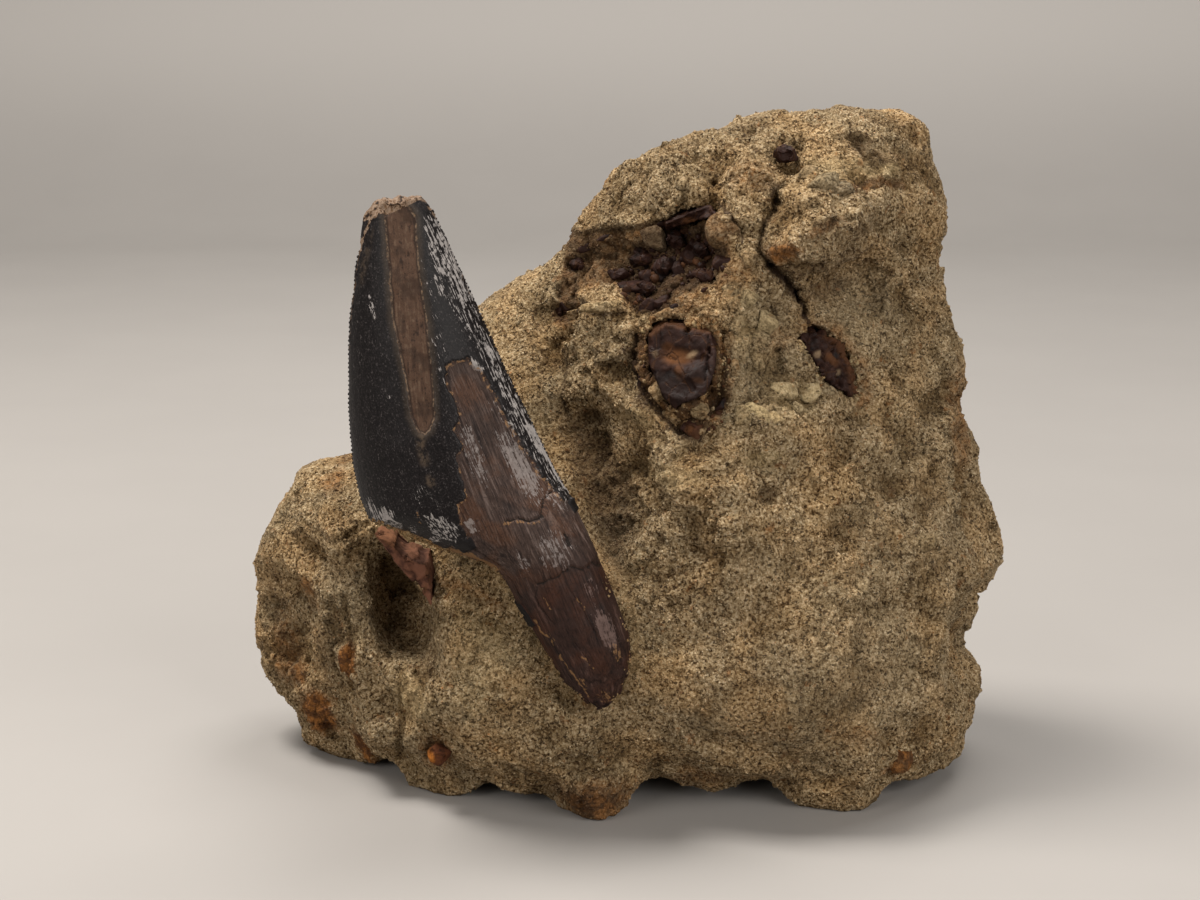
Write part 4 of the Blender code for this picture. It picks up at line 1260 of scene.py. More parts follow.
@dataclass
class SandstoneBlock:
    """The block of sandstone, finer than its solid, with its stains and painted shade."""

    tooth: Tooth
    voxel: float = 0.88
    soften: int = 3
    # Faces are split where they look to the viewer by this much, and are this far above the ground in metres.
    split_facing: float = 0.32
    split_above: float = 0.0006
    pit_depth: float = 0.35
    grit: float = 0.055
    foot_height: float = 0.35
    ground_gap: float = 0.02
    # The relief is stored as a share of this range in millimetres, for the painted shade of the hollows.
    relief_range: float = 0.9
    # Layers of relief: size of the lumps, how far they stand out, and the pattern's shift.
    layers: tuple[tuple[float, float, float], ...] = (
        (5.5, 0.14, 1.0), (2.4, 0.10, 2.0), (1.2, 0.11, 3.0), (0.8, 0.09, 4.0))
    ridge: float = 6.5
    ridge_reach: float = 0.30
    # Facets of the broken faces: their size, how far they stand out, and the pattern's shift.
    facets: tuple[tuple[float, float, float], ...] = ((6.4, 0.50, 31.0), (2.6, 0.30, 32.0), (1.3, 0.17, 33.0))
    # Pulls on the outline seen from the front: place, shift right and up, and reach.
    pulls: tuple[tuple[float, float, float, float, float], ...] = (
        (43.0, 78.0, 0.9, 0.0, 9.0), (32.0, 88.0, 0.0, -0.8, 8.0), (45.0, 54.0, 1.4, 0.0, 9.0),
        (48.5, 23.0, -2.2, 0.3, 5.5), (46.5, 11.0, 1.7, 0.0, 3.6), (43.0, 3.0, 1.3, 0.0, 4.0),
        (-41.0, 3.0, -1.9, -0.5, 7.0), (-49.0, 27.0, -0.7, 0.0, 6.0), (-38.0, 42.0, 0.0, -1.0, 4.0),
        (-11.0, 68.0, 0.8, -0.6, 7.0), (4.0, 83.0, -0.3, 0.8, 6.0),
    )
    pebble: float = 2.4
    pebble_reach: float = 0.60
    pebbly: tuple[Stroke, ...] = (
        Spot(2.0, 61.0, 15.0, 11.0, 1.0, turn=-15, edge=0.6),
        Spot(21.0, 56.0, 9.0, 9.0, 0.7, edge=0.6),
        Spot(12.0, 79.0, 20.0, 7.0, 1.0),
        Spot(-38.0, 33.0, 12.0, 10.0, 0.5),
        Spot(-42.0, 12.0, 9.0, 12.0, 0.3),
        Spot(14.0, 4.0, 34.0, 5.0, 0.5),
    )
    rugged: tuple[Stroke, ...] = (
        Spot(12.0, 80.0, 26.0, 9.0, 1.0), Spot(0.0, 60.0, 14.0, 12.0, 0.9), Spot(17.0, 58.0, 9.0, 10.0, 0.7),
        Spot(39.0, 48.0, 9.0, 26.0, 0.9), Spot(24.0, 73.0, 9.0, 5.0, 0.8), Spot(-42.0, 20.0, 11.0, 20.0, 0.7),
        Spot(6.0, 41.0, 11.0, 8.0, 0.5), Spot(-18.0, 18.0, 6.0, 9.0, 0.6),
    )
    calm: tuple[Stroke, ...] = (
        Patch(((-4.0, 30.0), (4.0, 30.0), (28.0, 30.0), (32.0, 10.0), (20.0, 4.0), (-8.0, 6.0)), 0.66, 6.0),
        Patch(((20.0, 68.0), (36.0, 70.0), (42.0, 50.0), (46.0, 30.0), (34.0, 30.0), (28.0, 48.0)), 0.15,
              5.0),
        Patch(((-52.0, 44.0), (-34.0, 44.0), (-30.0, 30.0), (-32.0, -2.0), (-52.0, -2.0)), 0.25, 4.0),
        Patch(((-24.0, 9.0), (40.0, 9.0), (48.0, -2.0), (-28.0, -2.0)), 0.40, 3.0),
    )
    # Forms that stand out of the solid's face, or are sunk in it.
    forms: tuple[Stroke, ...] = (
        Patch(((16.9, 71.4), (17.4, 73.6), (18.8, 76.4), (21.4, 77.8), (26.0, 78.4), (30.4, 78.6),
               (33.2, 76.4),
               (30.8, 73.4), (28.2, 71.4), (24.8, 70.2), (20.8, 69.4)), 1.5, 2.0),
        Patch(((17.2, 71.2), (18.6, 74.0), (21.6, 74.2), (21.0, 71.4), (19.4, 69.9)), 0.8, 1.2),
        Trail(((19.6, 78.2), (18.4, 77.4)), 0.8, -1.2),
        Trail(((18.4, 77.4), (17.0, 75.1), (16.5, 73.2), (16.1, 71.3), (17.6, 69.4)), 0.55, -0.9),
        Trail(((17.6, 69.4), (19.0, 68.3), (20.1, 66.8), (20.9, 65.6)), 1.0, -1.6),
        Trail(((20.9, 65.6), (21.7, 64.0), (22.0, 62.6)), 0.7, -1.2),
        Trail(((26.5, 78.9), (29.6, 79.4), (34.0, 78.4)), 0.8, -0.4),
        Trail(((22.4, 73.2), (24.6, 74.6), (27.4, 75.6)), 0.6, -0.5),
        Spot(24.8, 75.4, 1.1, 0.7, -0.9, turn=30),
        Spot(28.6, 83.6, 2.2, 1.6, -1.0), Spot(31.6, 81.4, 2.0, 1.1, -0.8, turn=-40),
        Trail(((-7.8, 70.6), (-3.8, 72.0), (0.1, 72.6), (3.2, 73.4), (9.0, 75.0)), 0.9, -0.6),
        Trail(((12.6, 75.2), (13.9, 73.4), (13.9, 72.2)), 0.45, -0.9),
        Spot(-7.2, 67.2, 1.7, 1.5, -1.2), Spot(-4.0, 67.6, 3.2, 2.2, -0.7),
        Trail(((-5.6, 62.7), (-3.0, 62.2), (-0.6, 62.6)), 0.6, -0.8),
        Trail(((-9.8, 62.6), (-8.4, 61.4), (-7.0, 61.6)), 0.9, -0.9),
        Trail(((1.2, 60.6), (0.8, 57.8), (1.6, 55.2), (3.2, 52.6), (5.6, 50.6)), 1.1, -1.6),
        Trail(((11.6, 61.6), (11.6, 58.6), (10.9, 56.0), (9.6, 54.0)), 0.6, -1.0),
        Trail(((13.2, 60.8), (12.8, 57.2), (11.6, 54.4)), 0.8, 0.7),
        Trail(((1.4, 62.4), (4.4, 63.2), (10.0, 63.2), (12.8, 62.0)), 0.9, 0.7),
        Spot(10.6, 53.4, 1.9, 2.4, -1.1, turn=-20),
        Trail(((-8.4, 57.8), (-8.1, 54.1), (-8.5, 50.0)), 0.5, -0.3),
        Spot(-1.4, 52.4, 1.3, 2.6, 0.7, turn=20),
        Spot(-4.9, 49.6, 2.2, 1.6, -0.8),
        Spot(16.8, 41.8, 2.2, 2.0, -0.8),
        Trail(((2.4, 46.2), (7.0, 45.6), (12.4, 46.2)), 1.0, 0.5),
        Trail(((3.4, 42.0), (8.4, 41.2), (14.4, 41.6)), 1.0, 0.5),
        Trail(((3.4, 37.6), (9.6, 37.0), (16.4, 38.0)), 1.0, 0.45),
        Spot(37.4, 34.4, 2.0, 1.6, 0.8), Spot(28.8, 30.1, 1.2, 1.1, 0.6, edge=0.3),
        Trail(((-36.7, 26.0), (-35.9, 20.0), (-36.2, 13.0)), 0.9, -0.9),
        Trail(((-34.4, 31.0), (-33.9, 25.1), (-33.3, 20.0), (-32.0, 14.0)), 1.0, 0.6),
        Trail(((-29.4, 17.0), (-29.0, 10.8), (-30.3, 3.4)), 1.0, -0.8),
        Trail(((-43.6, 34.0), (-38.0, 33.4), (-33.6, 35.4)), 0.8, -0.7),
        Spot(-24.8, 7.2, 2.0, 2.4, -0.8),
    )
    rust: tuple[Stroke, ...] = (
        Spot(-41.4, 7.4, 3.4, 4.6, 1.9, turn=15), Spot(-35.4, 3.8, 1.3, 4.4, 1.5, turn=25),
        Spot(-36.3, 17.6, 1.3, 4.2, 1.8), Spot(-39.4, 38.6, 2.4, 0.9, 0.7, turn=15),
        Spot(34.4, 5.7, 3.0, 2.0, 1.0),
        Spot(-42.5, 25.5, 1.8, 2.2, 0.9), Spot(-44.4, 12.4, 1.8, 2.6, 0.9),
        Spot(28.8, 12.1, 3.0, 2.0, 0.25), Spot(18.8, 71.4, 2.8, 2.0, 1.1, turn=10),
        Spot(24.0, 74.8, 3.6, 1.0, 0.6, turn=25),
        Spot(-24.7, 7.3, 3.0, 3.8, 0.9), Spot(-4.4, 2.8, 6.4, 4.6, 1.1), Spot(-46.4, 15.0, 3.0, 7.0, 0.6),
        Spot(44.0, 47.0, 2.4, 10.0, 0.6), Spot(15.6, 80.0, 4.6, 2.4, 0.40, turn=10),
        Spot(9.1, 4.7, 5.0, 2.6, 0.5),
        Spot(12.6, 66.8, 2.6, 2.6, 0.5), Spot(6.0, 65.2, 5.6, 2.2, 0.55), Spot(-41.6, 24.0, 2.0, 3.0, 0.4),
        Trail(((28.0, 78.6), (31.0, 78.9), (35.5, 78.3)), 0.8, 0.8),
        Patch(((-10.4, 60.0), (-9.2, 65.5), (-8.0, 70.9), (-3.8, 72.4), (0.1, 73.0), (2.9, 74.0), (9.0, 75.6),
               (12.6, 75.0), (13.2, 70.4), (10.4, 66.4), (5.4, 64.2), (3.0, 62.8), (-0.6, 63.2), (-2.0, 64.8),
               (-5.6, 63.6), (-7.0, 59.8)), 0.60, 0.8),
        Patch(((-0.2, 61.0), (2.0, 63.6), (10.4, 63.8), (13.4, 61.0), (13.0, 55.0), (12.4, 51.0), (8.6, 48.2),
               (4.4, 50.0), (1.0, 54.0)), 0.85, 1.6),
        Spot(19.0, 60.2, 3.4, 2.0, 0.3), Spot(14.0, 69.0, 2.2, 2.2, 0.4),
        Trail(((22.0, 61.6), (26.2, 60.6), (29.2, 56.4), (30.2, 52.0)), 1.5, 0.55),
        Trail(((-24.6, 30.6), (-20.4, 30.6), (-16.0, 28.4)), 1.1, 0.5),
    )
    # Dark brown stains, and painted shade: the hollow beside the tooth, the pit under its crown, the crevice
    # by the boss and the underside of the boss are darkened as if in shade.
    dirt_and_shade: tuple[Stroke, ...] = (
        # The hollow right of the tooth: a stain and painted shade.
        Patch(((-10.6, 52.6), (-7.6, 52.0), (-2.4, 49.0), (2.2, 44.4), (2.8, 38.0), (1.0, 31.0), (-2.6, 27.4),
               (-6.0, 35.0), (-9.2, 43.0)), 0.72, 3.4),
        # Painted shade in the pit under the crown's base.
        Patch(((-32.0, 31.6), (-26.2, 30.6), (-23.6, 29.0), (-23.2, 19.0), (-26.0, 15.6), (-30.0, 17.4),
               (-33.4, 20.0), (-33.4, 28.0)), 0.34, 2.4),
        Patch(((-0.6, 68.6), (0.2, 71.6), (4.6, 73.4), (9.6, 75.0), (12.8, 73.0), (13.0, 68.6), (9.6, 66.0),
               (5.6, 65.2), (4.6, 63.0), (0.8, 62.8), (-1.8, 64.8)), 0.94, 0.9),
        Patch(((-9.6, 60.6), (-9.2, 65.5), (-8.4, 70.9), (-3.8, 72.6), (0.1, 73.0), (0.4, 66.0), (-2.0, 65.0),
               (-5.6, 64.2), (-7.0, 60.4)), 0.66, 0.8),
        Patch(((0.8, 60.6), (2.6, 61.8), (10.6, 62.4), (11.8, 60.0), (11.2, 55.4), (8.6, 51.2), (5.6, 50.4),
               (2.4, 53.6), (0.8, 57.4)), 0.75, 0.9),
        Spot(-6.8, 67.6, 2.2, 1.8, 0.95), Spot(-6.4, 69.9, 2.6, 1.0, 0.85), Spot(-9.0, 61.8, 1.4, 1.6, 0.7),
        Spot(7.6, 49.9, 2.6, 2.4, 0.9, turn=-25), Spot(10.9, 53.4, 2.2, 2.6, 0.85, turn=-20),
        Spot(16.8, 42.0, 2.0, 1.6, 0.55), Spot(29.6, 83.4, 2.8, 1.9, 0.55, turn=-25),
        Spot(31.8, 81.6, 2.2, 1.4, 0.6),
        Spot(2.2, 53.6, 1.8, 2.6, 0.8), Spot(17.6, 78.6, 2.6, 1.4, 0.55), Spot(12.0, 67.6, 1.6, 1.2, 0.5),
        Spot(0.4, 58.2, 1.8, 1.6, 0.7), Spot(25.0, 65.8, 7.0, 2.2, 0.5, turn=8),
        Spot(-39.6, 16.0, 2.0, 9.0, 0.35),
        Spot(-47.4, 22.0, 2.6, 7.6, 0.38), Spot(-45.4, 13.4, 2.0, 4.0, 0.30),
        # Painted shade under the boss.
        Spot(26.0, 74.2, 7.0, 2.6, 0.34),
        Spot(12.0, 20.0, 30.0, 20.0, 0.12),
        Spot(25.0, 75.3, 1.2, 0.8, 0.8, turn=30), Spot(-5.0, 49.6, 2.4, 1.8, 0.5),
        # Painted shade in the crevice beside the boss, down to its lower slot.
        Trail(((18.2, 77.2), (16.7, 74.5), (16.1, 71.3), (17.8, 69.2)), 0.55, 0.8),
        Spot(18.2, 78.4, 1.2, 0.8, 0.9, turn=20),
        Trail(((17.4, 69.6), (20.1, 66.8), (21.2, 65.0)), 1.1, 1.3),
        Trail(((21.2, 65.0), (22.1, 62.2)), 0.7, 1.2),
        Trail(((0.7, 60.6), (0.7, 57.0), (2.0, 53.6), (4.6, 50.9), (6.8, 48.7), (8.6, 49.0), (9.2, 51.2),
               (10.8, 53.2),
               (11.6, 55.6), (11.6, 58.4)), 0.75, 1.15),
        Trail(((18.4, 68.6), (21.6, 68.4), (25.4, 69.4), (29.6, 70.8)), 1.6, 0.55),
        Trail(((-8.4, 57.8), (-8.1, 54.1), (-8.5, 50.0)), 0.36, 0.9),
        Trail(((-4.6, 43.0), (-3.6, 38.6), (-2.0, 35.0)), 1.2, 0.9),
        Trail(((11.0, 76.9), (12.2, 75.6), (13.4, 73.8), (14.1, 72.6)), 0.45, 1.2),
        Trail(((-8.0, 70.9), (-3.8, 72.2), (0.1, 72.9), (3.2, 73.7), (9.0, 75.3)), 0.75, 0.85),
        Trail(((-5.4, 62.8), (-3.0, 62.3), (-0.8, 62.8)), 0.5, 0.9),
        Trail(((28.0, 78.8), (31.0, 79.2), (34.4, 78.5)), 0.5, 0.5),
        Spot(-6.0, 3.0, 8.0, 3.0, 0.50),
    )
    chalk: tuple[Stroke, ...] = (
        Spot(12.9, 66.2, 1.7, 1.5, 0.4, edge=0.4), Spot(16.3, 46.4, 3.2, 1.4, 0.35, edge=0.5),
        Spot(37.7, 34.4, 1.6, 1.3, 0.45), Spot(-24.6, 35.6, 1.2, 1.0, 0.4),
        Spot(20.6, 53.0, 5.0, 3.4, 0.40, edge=0.8),
        Spot(14.6, 61.6, 3.0, 4.0, 0.35, edge=0.8), Spot(28.0, 80.8, 9.0, 1.6, 0.35),
        Spot(33.4, 80.4, 2.6, 1.4, 0.5),
        Spot(-27.6, 14.4, 4.0, 4.6, 0.40), Spot(0.8, 50.6, 3.0, 1.8, 0.3), Spot(4.4, 44.6, 6.0, 2.0, 0.25),
        Patch(((-23.0, 30.4), (-14.6, 27.6), (-10.6, 22.4), (-20.0, 12.0), (-24.0, 18.0)), 0.25, 4.0),
    )
    grey: tuple[Stroke, ...] = (
        Spot(40.0, 44.0, 12.0, 26.0, 0.3), Spot(30.0, 62.0, 9.0, 9.0, 0.5),
        Spot(28.0, 20.0, 14.0, 14.0, 0.35),
        Spot(17.0, 58.0, 7.0, 10.0, 0.6), Spot(-9.2, 64.6, 2.4, 2.0, 0.6), Spot(-38.0, 24.0, 5.0, 8.0, 0.3),
    )

    def build(self) -> bpy.types.Object:
        """Make the block with its relief, and store its stains and its relief, from both of which its painted
        shade is made.

        Returns:
            The finished piece.
        """
        item = evened("matrix", "sandstone_block", self.voxel, self.soften)
        self.refine_front(item)
        points, normals = points_of(item), normals_of(item)
        for x, z, right, up, reach in self.pulls:
            share = smooth(1.0 - np.hypot(points[:, 0] - x, points[:, 2] - z) / reach)
            points += share[:, None] * (right, 0.0, up)
        x, z = points[:, 0], points[:, 2]
        facing_front = smooth((0.45 - normals[:, 1]) / 0.4)
        in_sight = smooth((normals @ TO_VIEWER - 0.05) / 0.25)
        pebbly = strongest(self.pebbly, x, z)
        calm = 1.0 - strongest(self.calm, x, z) * facing_front
        near_tooth = depth_inside(x, z, self.tooth.edge_outline(0.3))
        held = smooth((-near_tooth) / 2.2) * 0.75 + 0.25
        waves = [reach * noise_at(points, size, shift) for size, reach, shift in self.layers]
        ridges = self.ridge_reach * (1.0 - 3.2 * np.abs(noise_at(points, self.ridge, 21.0)))
        broken = [reach * breaks_at(points, size, shift) for size, reach, shift in self.facets]
        small = sum(waves[2:]) + broken[2]
        lively = 1.0 + strongest(self.rugged, x, z) * in_sight
        broad = (ridges + sum(waves[:2]) + sum(broken[:2])) * calm * lively
        height = broad + small * (0.45 + 0.55 * in_sight)
        middle, joint = chips_at(points, self.pebble, 3.0)
        height += self.pebble_reach * pebbly * (0.55 - middle - 0.35 * smooth(1.0 - joint / 0.12))
        pits = smooth((noise_at(points, 1.7, 11.0) - 0.38) / 0.2)
        height -= self.pit_depth * pits * calm
        draw = np.random.default_rng(Seed.GRIT)
        height += draw.normal(0.0, self.grit, len(height)) * in_sight
        height *= held
        forms = raised(self.forms, x, z) * facing_front
        moved = points + normals * height[:, None]
        moved[:, 1] -= forms
        height += forms
        standing = points[:, 2] < self.foot_height
        moved[:, 2] = np.where(standing, np.maximum(points[:, 2], 0.0),
                               np.maximum(moved[:, 2], self.ground_gap))
        move_points(item, moved)

        fringe = Trail(self.tooth.edge_outline(0.5), 0.9, 0.7, True).at(x, z)
        seam = np.where(z < 36.0, fringe, 0.0)
        stains = np.stack([
            np.maximum(strongest(self.rust, x, z), seam * 0.45), strongest(self.dirt_and_shade, x, z),
            np.maximum(strongest(self.chalk, x, z), seam * 0.55), strongest(self.grey, x, z),
        ], axis=1) * facing_front[:, None]
        store(item, "stain", stains)
        # The relief sets the sandstone's painted shade, darker where low.
        store(item, "relief", np.clip(height / self.relief_range, -1.0, 1.0))
        item.data.shade_smooth()
        return item

    def refine_front(self, item: bpy.types.Object) -> None:
        """Split each face that looks to the front in four."""
        work = bmesh_of(item)
        to_front = Vector(TO_VIEWER)
        edges = [edge for edge in work.edges
                 if all(vert.normal.dot(to_front) > self.split_facing and vert.co.z > self.split_above
                        for vert in edge.verts)]
        bmesh.ops.subdivide_edges(work, edges=edges, cuts=1, use_grid_fill=True)
        work.to_mesh(item.data)
        work.free()


@dataclass
class SandGrains:
    """Grains over the block's faces, as one mesh of many."""

    block: bpy.types.Object
    tooth: Tooth
    name: str
    count: int
    detail: int
    sizes: Place
    sunk: float
    evenness: float = 1.0
    back_share: float = 0.22
    seed: int = SEED

    def likely(self, middles: np.ndarray, normals: np.ndarray) -> np.ndarray:
        """How likely a grain is at places on the block.

        Args:
            middles: The places.
            normals: The surface's normals there.

        Returns:
            A weight a place.
        """
        x, z = middles[:, 0], middles[:, 2]
        shown = np.maximum(smooth((0.30 - normals[:, 1]) / 0.3), smooth((normals[:, 2] - 0.1) / 0.3))
        weight = self.back_share + (1.0 - self.back_share) * shown
        covered = (depth_inside(x, z, self.tooth.edge_outline(0.2)) > 0.0) & (middles[:, 1] < -8.0)
        weight = np.where(covered | (z < 0.5), 0.0, weight)
        pebbly = strongest(SandstoneBlock.pebbly, x, z)
        return weight * (self.evenness + (1.0 - self.evenness) * pebbly)

    def build(self) -> bpy.types.Object:
        """Scatter the grains.

        Returns:
            The finished piece.
        """
        draw = np.random.default_rng(self.seed)
        mesh = self.block.data
        mesh.calc_loop_triangles()
        corners = np.empty(len(mesh.loop_triangles) * 3, int)
        mesh.loop_triangles.foreach_get("vertices", corners)
        corners = corners.reshape(-1, 3)
        points = points_of(self.block)
        triangles = points[corners]
        across = np.cross(triangles[:, 1] - triangles[:, 0], triangles[:, 2] - triangles[:, 0])
        areas = np.linalg.norm(across, axis=1) / 2.0
        normals = across / np.maximum(areas[:, None] * 2.0, 1e-9)
        weight = areas * self.likely(triangles.mean(axis=1), normals)
        chosen = draw.choice(len(weight), self.count, p=weight / weight.sum())
        shares = draw.dirichlet((1.0, 1.0, 1.0), self.count)
        spots = np.einsum("nk,nkj->nj", shares, triangles[chosen])
        size = self.sizes[0] + (self.sizes[1] - self.sizes[0]) * draw.beta(1.4, 3.0, self.count)
        spots -= normals[chosen] * (size * self.sunk)[:, None]
        reach = size[:, None] * draw.uniform(0.55, 1.25, (self.count, 3))
        shape = Copies(self.detail)
        lengths = shape.faceted(self.count, 9, draw) if self.detail else shape.worn(self.count, 0.16, draw)
        item = shape.scatter(self.name, spots, reach, any_turns(self.count, draw), lengths)
        nearest = corners[chosen, 0]
        stains = np.empty(len(points) * 4)
        mesh.attributes["stain"].data.foreach_get("color", stains)
        store(item, "stain", shape.spread(stains.reshape(-1, 4)[nearest]))
        # Each grain takes the relief of the block under it, raised a little, so its painted shade is a little
        # lighter.
        store(item, "relief", shape.spread(stored(self.block, "relief")[nearest] + 0.12))
        store(item, "tone", shape.spread(draw.uniform(0.0, 1.0, self.count)))
        return item


@dataclass(frozen=True)
class Stone:
    """A stone bedded in the block's front: its place, half sizes, turn, stains and how deep it is sunk."""

    x: float
    z: float
    half_width: float
    half_height: float
    turn: float = 0.0
    stain: tuple[float, float, float, float] = (0.0, 0.0, 0.0, 0.0)
    sunk: float = 0.35


@dataclass
class Bedding:
    """Broken stones set in the block's front, as one mesh."""

    surface: BVHTree
    name: str
    stones: Sequence[Stone]
    detail: int = 4
    facets: int = 13
    depth: float = 0.8
    roughness: float = 0.07
    # The relief stored on every stone sets its painted shade; 0.35 leaves it unshaded and a little lightened.
    relief: float = 0.35
    in_front: float = -60.0
    seed: int = Seed.CLASTS

    def at(self, x: float, z: float) -> Optional[np.ndarray]:
        """The place on the block's front at (x, z), if there is one."""
        hit = self.surface.ray_cast(Vector((x, self.in_front, z)) * MM, Vector((0.0, 1.0, 0.0)))[0]
        return None if hit is None else np.array(hit) / MM

    def build(self) -> bpy.types.Object:
        """Set the stones.

        Returns:
            The finished piece.
        """
        draw = np.random.default_rng(self.seed)
        placed = [(stone, self.at(stone.x, stone.z)) for stone in self.stones]
        placed = [(stone, spot) for stone, spot in placed if spot is not None]
        count = len(placed)
        depth = np.array([self.depth * min(stone.half_width, stone.half_height) for stone, _ in placed])
        middles = np.array([spot for _, spot in placed])
        middles[:, 1] += depth * [stone.sunk for stone, _ in placed]
        reach = np.array([(stone.half_width, 0.0, stone.half_height) for stone, _ in placed])
        reach[:, 1] = depth
        angle = np.radians([stone.turn for stone, _ in placed])
        flat, one = np.zeros(count), np.ones(count)
        turns = np.stack([
            np.stack([np.cos(angle), flat, -np.sin(angle)], -1), np.stack([flat, one, flat], -1),
            np.stack([np.sin(angle), flat, np.cos(angle)], -1)], 1)
        shape = Copies(self.detail)
        item = shape.scatter(self.name, middles, reach, turns, shape.faceted(count, self.facets, draw))
        points, normals = points_of(item), normals_of(item)
        rough = self.roughness * (noise_at(points, 0.6) + 1.4 * noise_at(points, 1.6, 3.0))
        move_points(item, points + normals * rough[:, None])
        store(item, "stain", shape.spread(np.array([stone.stain for stone, _ in placed])))
        store(item, "relief", np.full(len(points), self.relief))
        return item


def stones_at(spots: np.ndarray, sizes: Place, rusty: Place, chalky: float,
              draw: np.random.Generator) -> list[Stone]:
    """Small stones of chance shapes.

    Args:
        spots: Where they lie, as (x, z).
        sizes: Their least and greatest half size.
        rusty: Their least and greatest rust.
        chalky: Their most chalk.
        draw: The source of chance.

    Returns:
        The stones.
    """
    stones = []
    for x, z in spots:
        size, shape, turn, rust, _, pale = draw.uniform(0.0, 1.0, 6)
        size = sizes[0] + (sizes[1] - sizes[0]) * size ** 2
        rust = rusty[0] + (rusty[1] - rusty[0]) * rust
        stain = (rust, 0.0, chalky * pale, 0.0)
        stones.append(Stone(x, z, size, size * (0.6 + 0.4 * shape), 180.0 * turn, stain, 0.2))
    return stones


def strewn(outline: Outline, count: int, sizes: Place, rusty: Place, seed: int) -> list[Stone]:
    """Small stones at chance places inside an outline.

    Args:
        outline: Where they lie, from the front.
        count: How many.
        sizes: Their least and greatest half size.
        rusty: Their least and greatest rust.
        seed: Seed of the chance.

    Returns:
        The stones.
    """
    draw = np.random.default_rng(seed)
    spots = draw.uniform(np.min(outline, axis=0), np.max(outline, axis=0), (count * 4, 2))
    spots = spots[depth_inside(spots[:, 0], spots[:, 1], outline) > 0.0][:count]
    return stones_at(spots, sizes, rusty, 0.0, draw)


def strung(line: Outline, count: int, spread: float, sizes: Place, rusty: Place, seed: int) -> list[Stone]:
    """Crumbs along a line.

    Args:
        line: The points of the line, from the front.
        count: How many.
        spread: How far they stray from it.
        sizes: Their least and greatest half size.
        rusty: Their least and greatest rust.
        seed: Seed of the chance.

    Returns:
        The crumbs.
    """
    draw = np.random.default_rng(seed)
    corners = np.array(line)
    reached = np.concatenate([[0.0], np.cumsum(np.linalg.norm(np.diff(corners, axis=0), axis=1))])
    along = draw.uniform(0.0, reached[-1], count)
    along = along[draw.uniform(0.0, 1.0, count) < 0.6 + 0.9 * np.sin(along * 1.7) * np.sin(along * 0.6)]
    spots = np.stack([np.interp(along, reached, corners[:, side]) for side in range(2)], axis=1)
    spots += draw.normal(0.0, spread, spots.shape)
    return stones_at(spots, sizes, rusty, 0.8, draw)


# ---------------------------------------------------------------- bone and ironstone


@dataclass
class BeddedPiece:
    """A finer mesh in place of one packed bit of bone, root or ironstone."""

    node: str
    slot: Slot
    voxel: float = 0.14
    soften: int = 1
    facet: float = 1.2
    facet_reach: float = 0.20
    planes: int = 0
    stretch: tuple[float, float, float] = (1.0, 1.0, 1.0)
    lumps: tuple[tuple[float, float, float], ...] = ((1.3, 0.12, 2.0), (0.5, 0.05, 5.0))
    cracks: tuple[Trail, ...] = ()
    rust: tuple[Stroke, ...] = ()
    dirt_and_shade: tuple[Stroke, ...] = ()
    chalk: tuple[Stroke, ...] = ()
    forms: tuple[Stroke, ...] = ()

    def planed(self, points: np.ndarray) -> np.ndarray:
        """Points with flat faces broken off all round the piece."""
        draw = np.random.default_rng([ord(letter) for letter in self.node])
        middle = points.mean(axis=0)
        reach = np.abs(points - middle).max(axis=0)
        shape = (points - middle) / reach
        for plane in draw.normal(size=(self.planes, 3)):
            plane /= np.linalg.norm(plane)
            beyond = np.maximum(shape @ plane - draw.uniform(0.55, 0.85), 0.0)
            shape -= beyond[:, None] * plane
        return middle + shape * reach * self.stretch

    def build(self) -> bpy.types.Object:
        """Make the piece.

        Returns:
            The finished piece.
        """
        item = evened(self.node, f"{self.node}_detail", self.voxel, self.soften)
        move_points(item, self.planed(points_of(item)))
        points, normals = points_of(item), normals_of(item)
        x, z = points[:, 0], points[:, 2]
        height = sum(reach * noise_at(points, size, shift) for size, reach, shift in self.lumps)
        height += self.facet_reach * breaks_at(points, self.facet, 1.0)
        height += raised(self.forms, x, z) * smooth(-normals[:, 1] * 2.0)
        crack = strongest(self.cracks, x + 0.2 * noise_at(points, 0.9, 1.0), z + 0.2
                          * noise_at(points, 0.9, 3.0))
        height -= 0.35 * smooth(crack)
        move_points(item, points + normals * height[:, None])
        stains = np.stack([strongest(self.rust, x, z), np.maximum(strongest(self.dirt_and_shade, x, z), crack * 0.9),
                           strongest(self.chalk, x, z), np.zeros(len(points))], axis=1)
        store(item, "stain", stains)
        if not self.planes:
            item.data.shade_smooth()
        return item


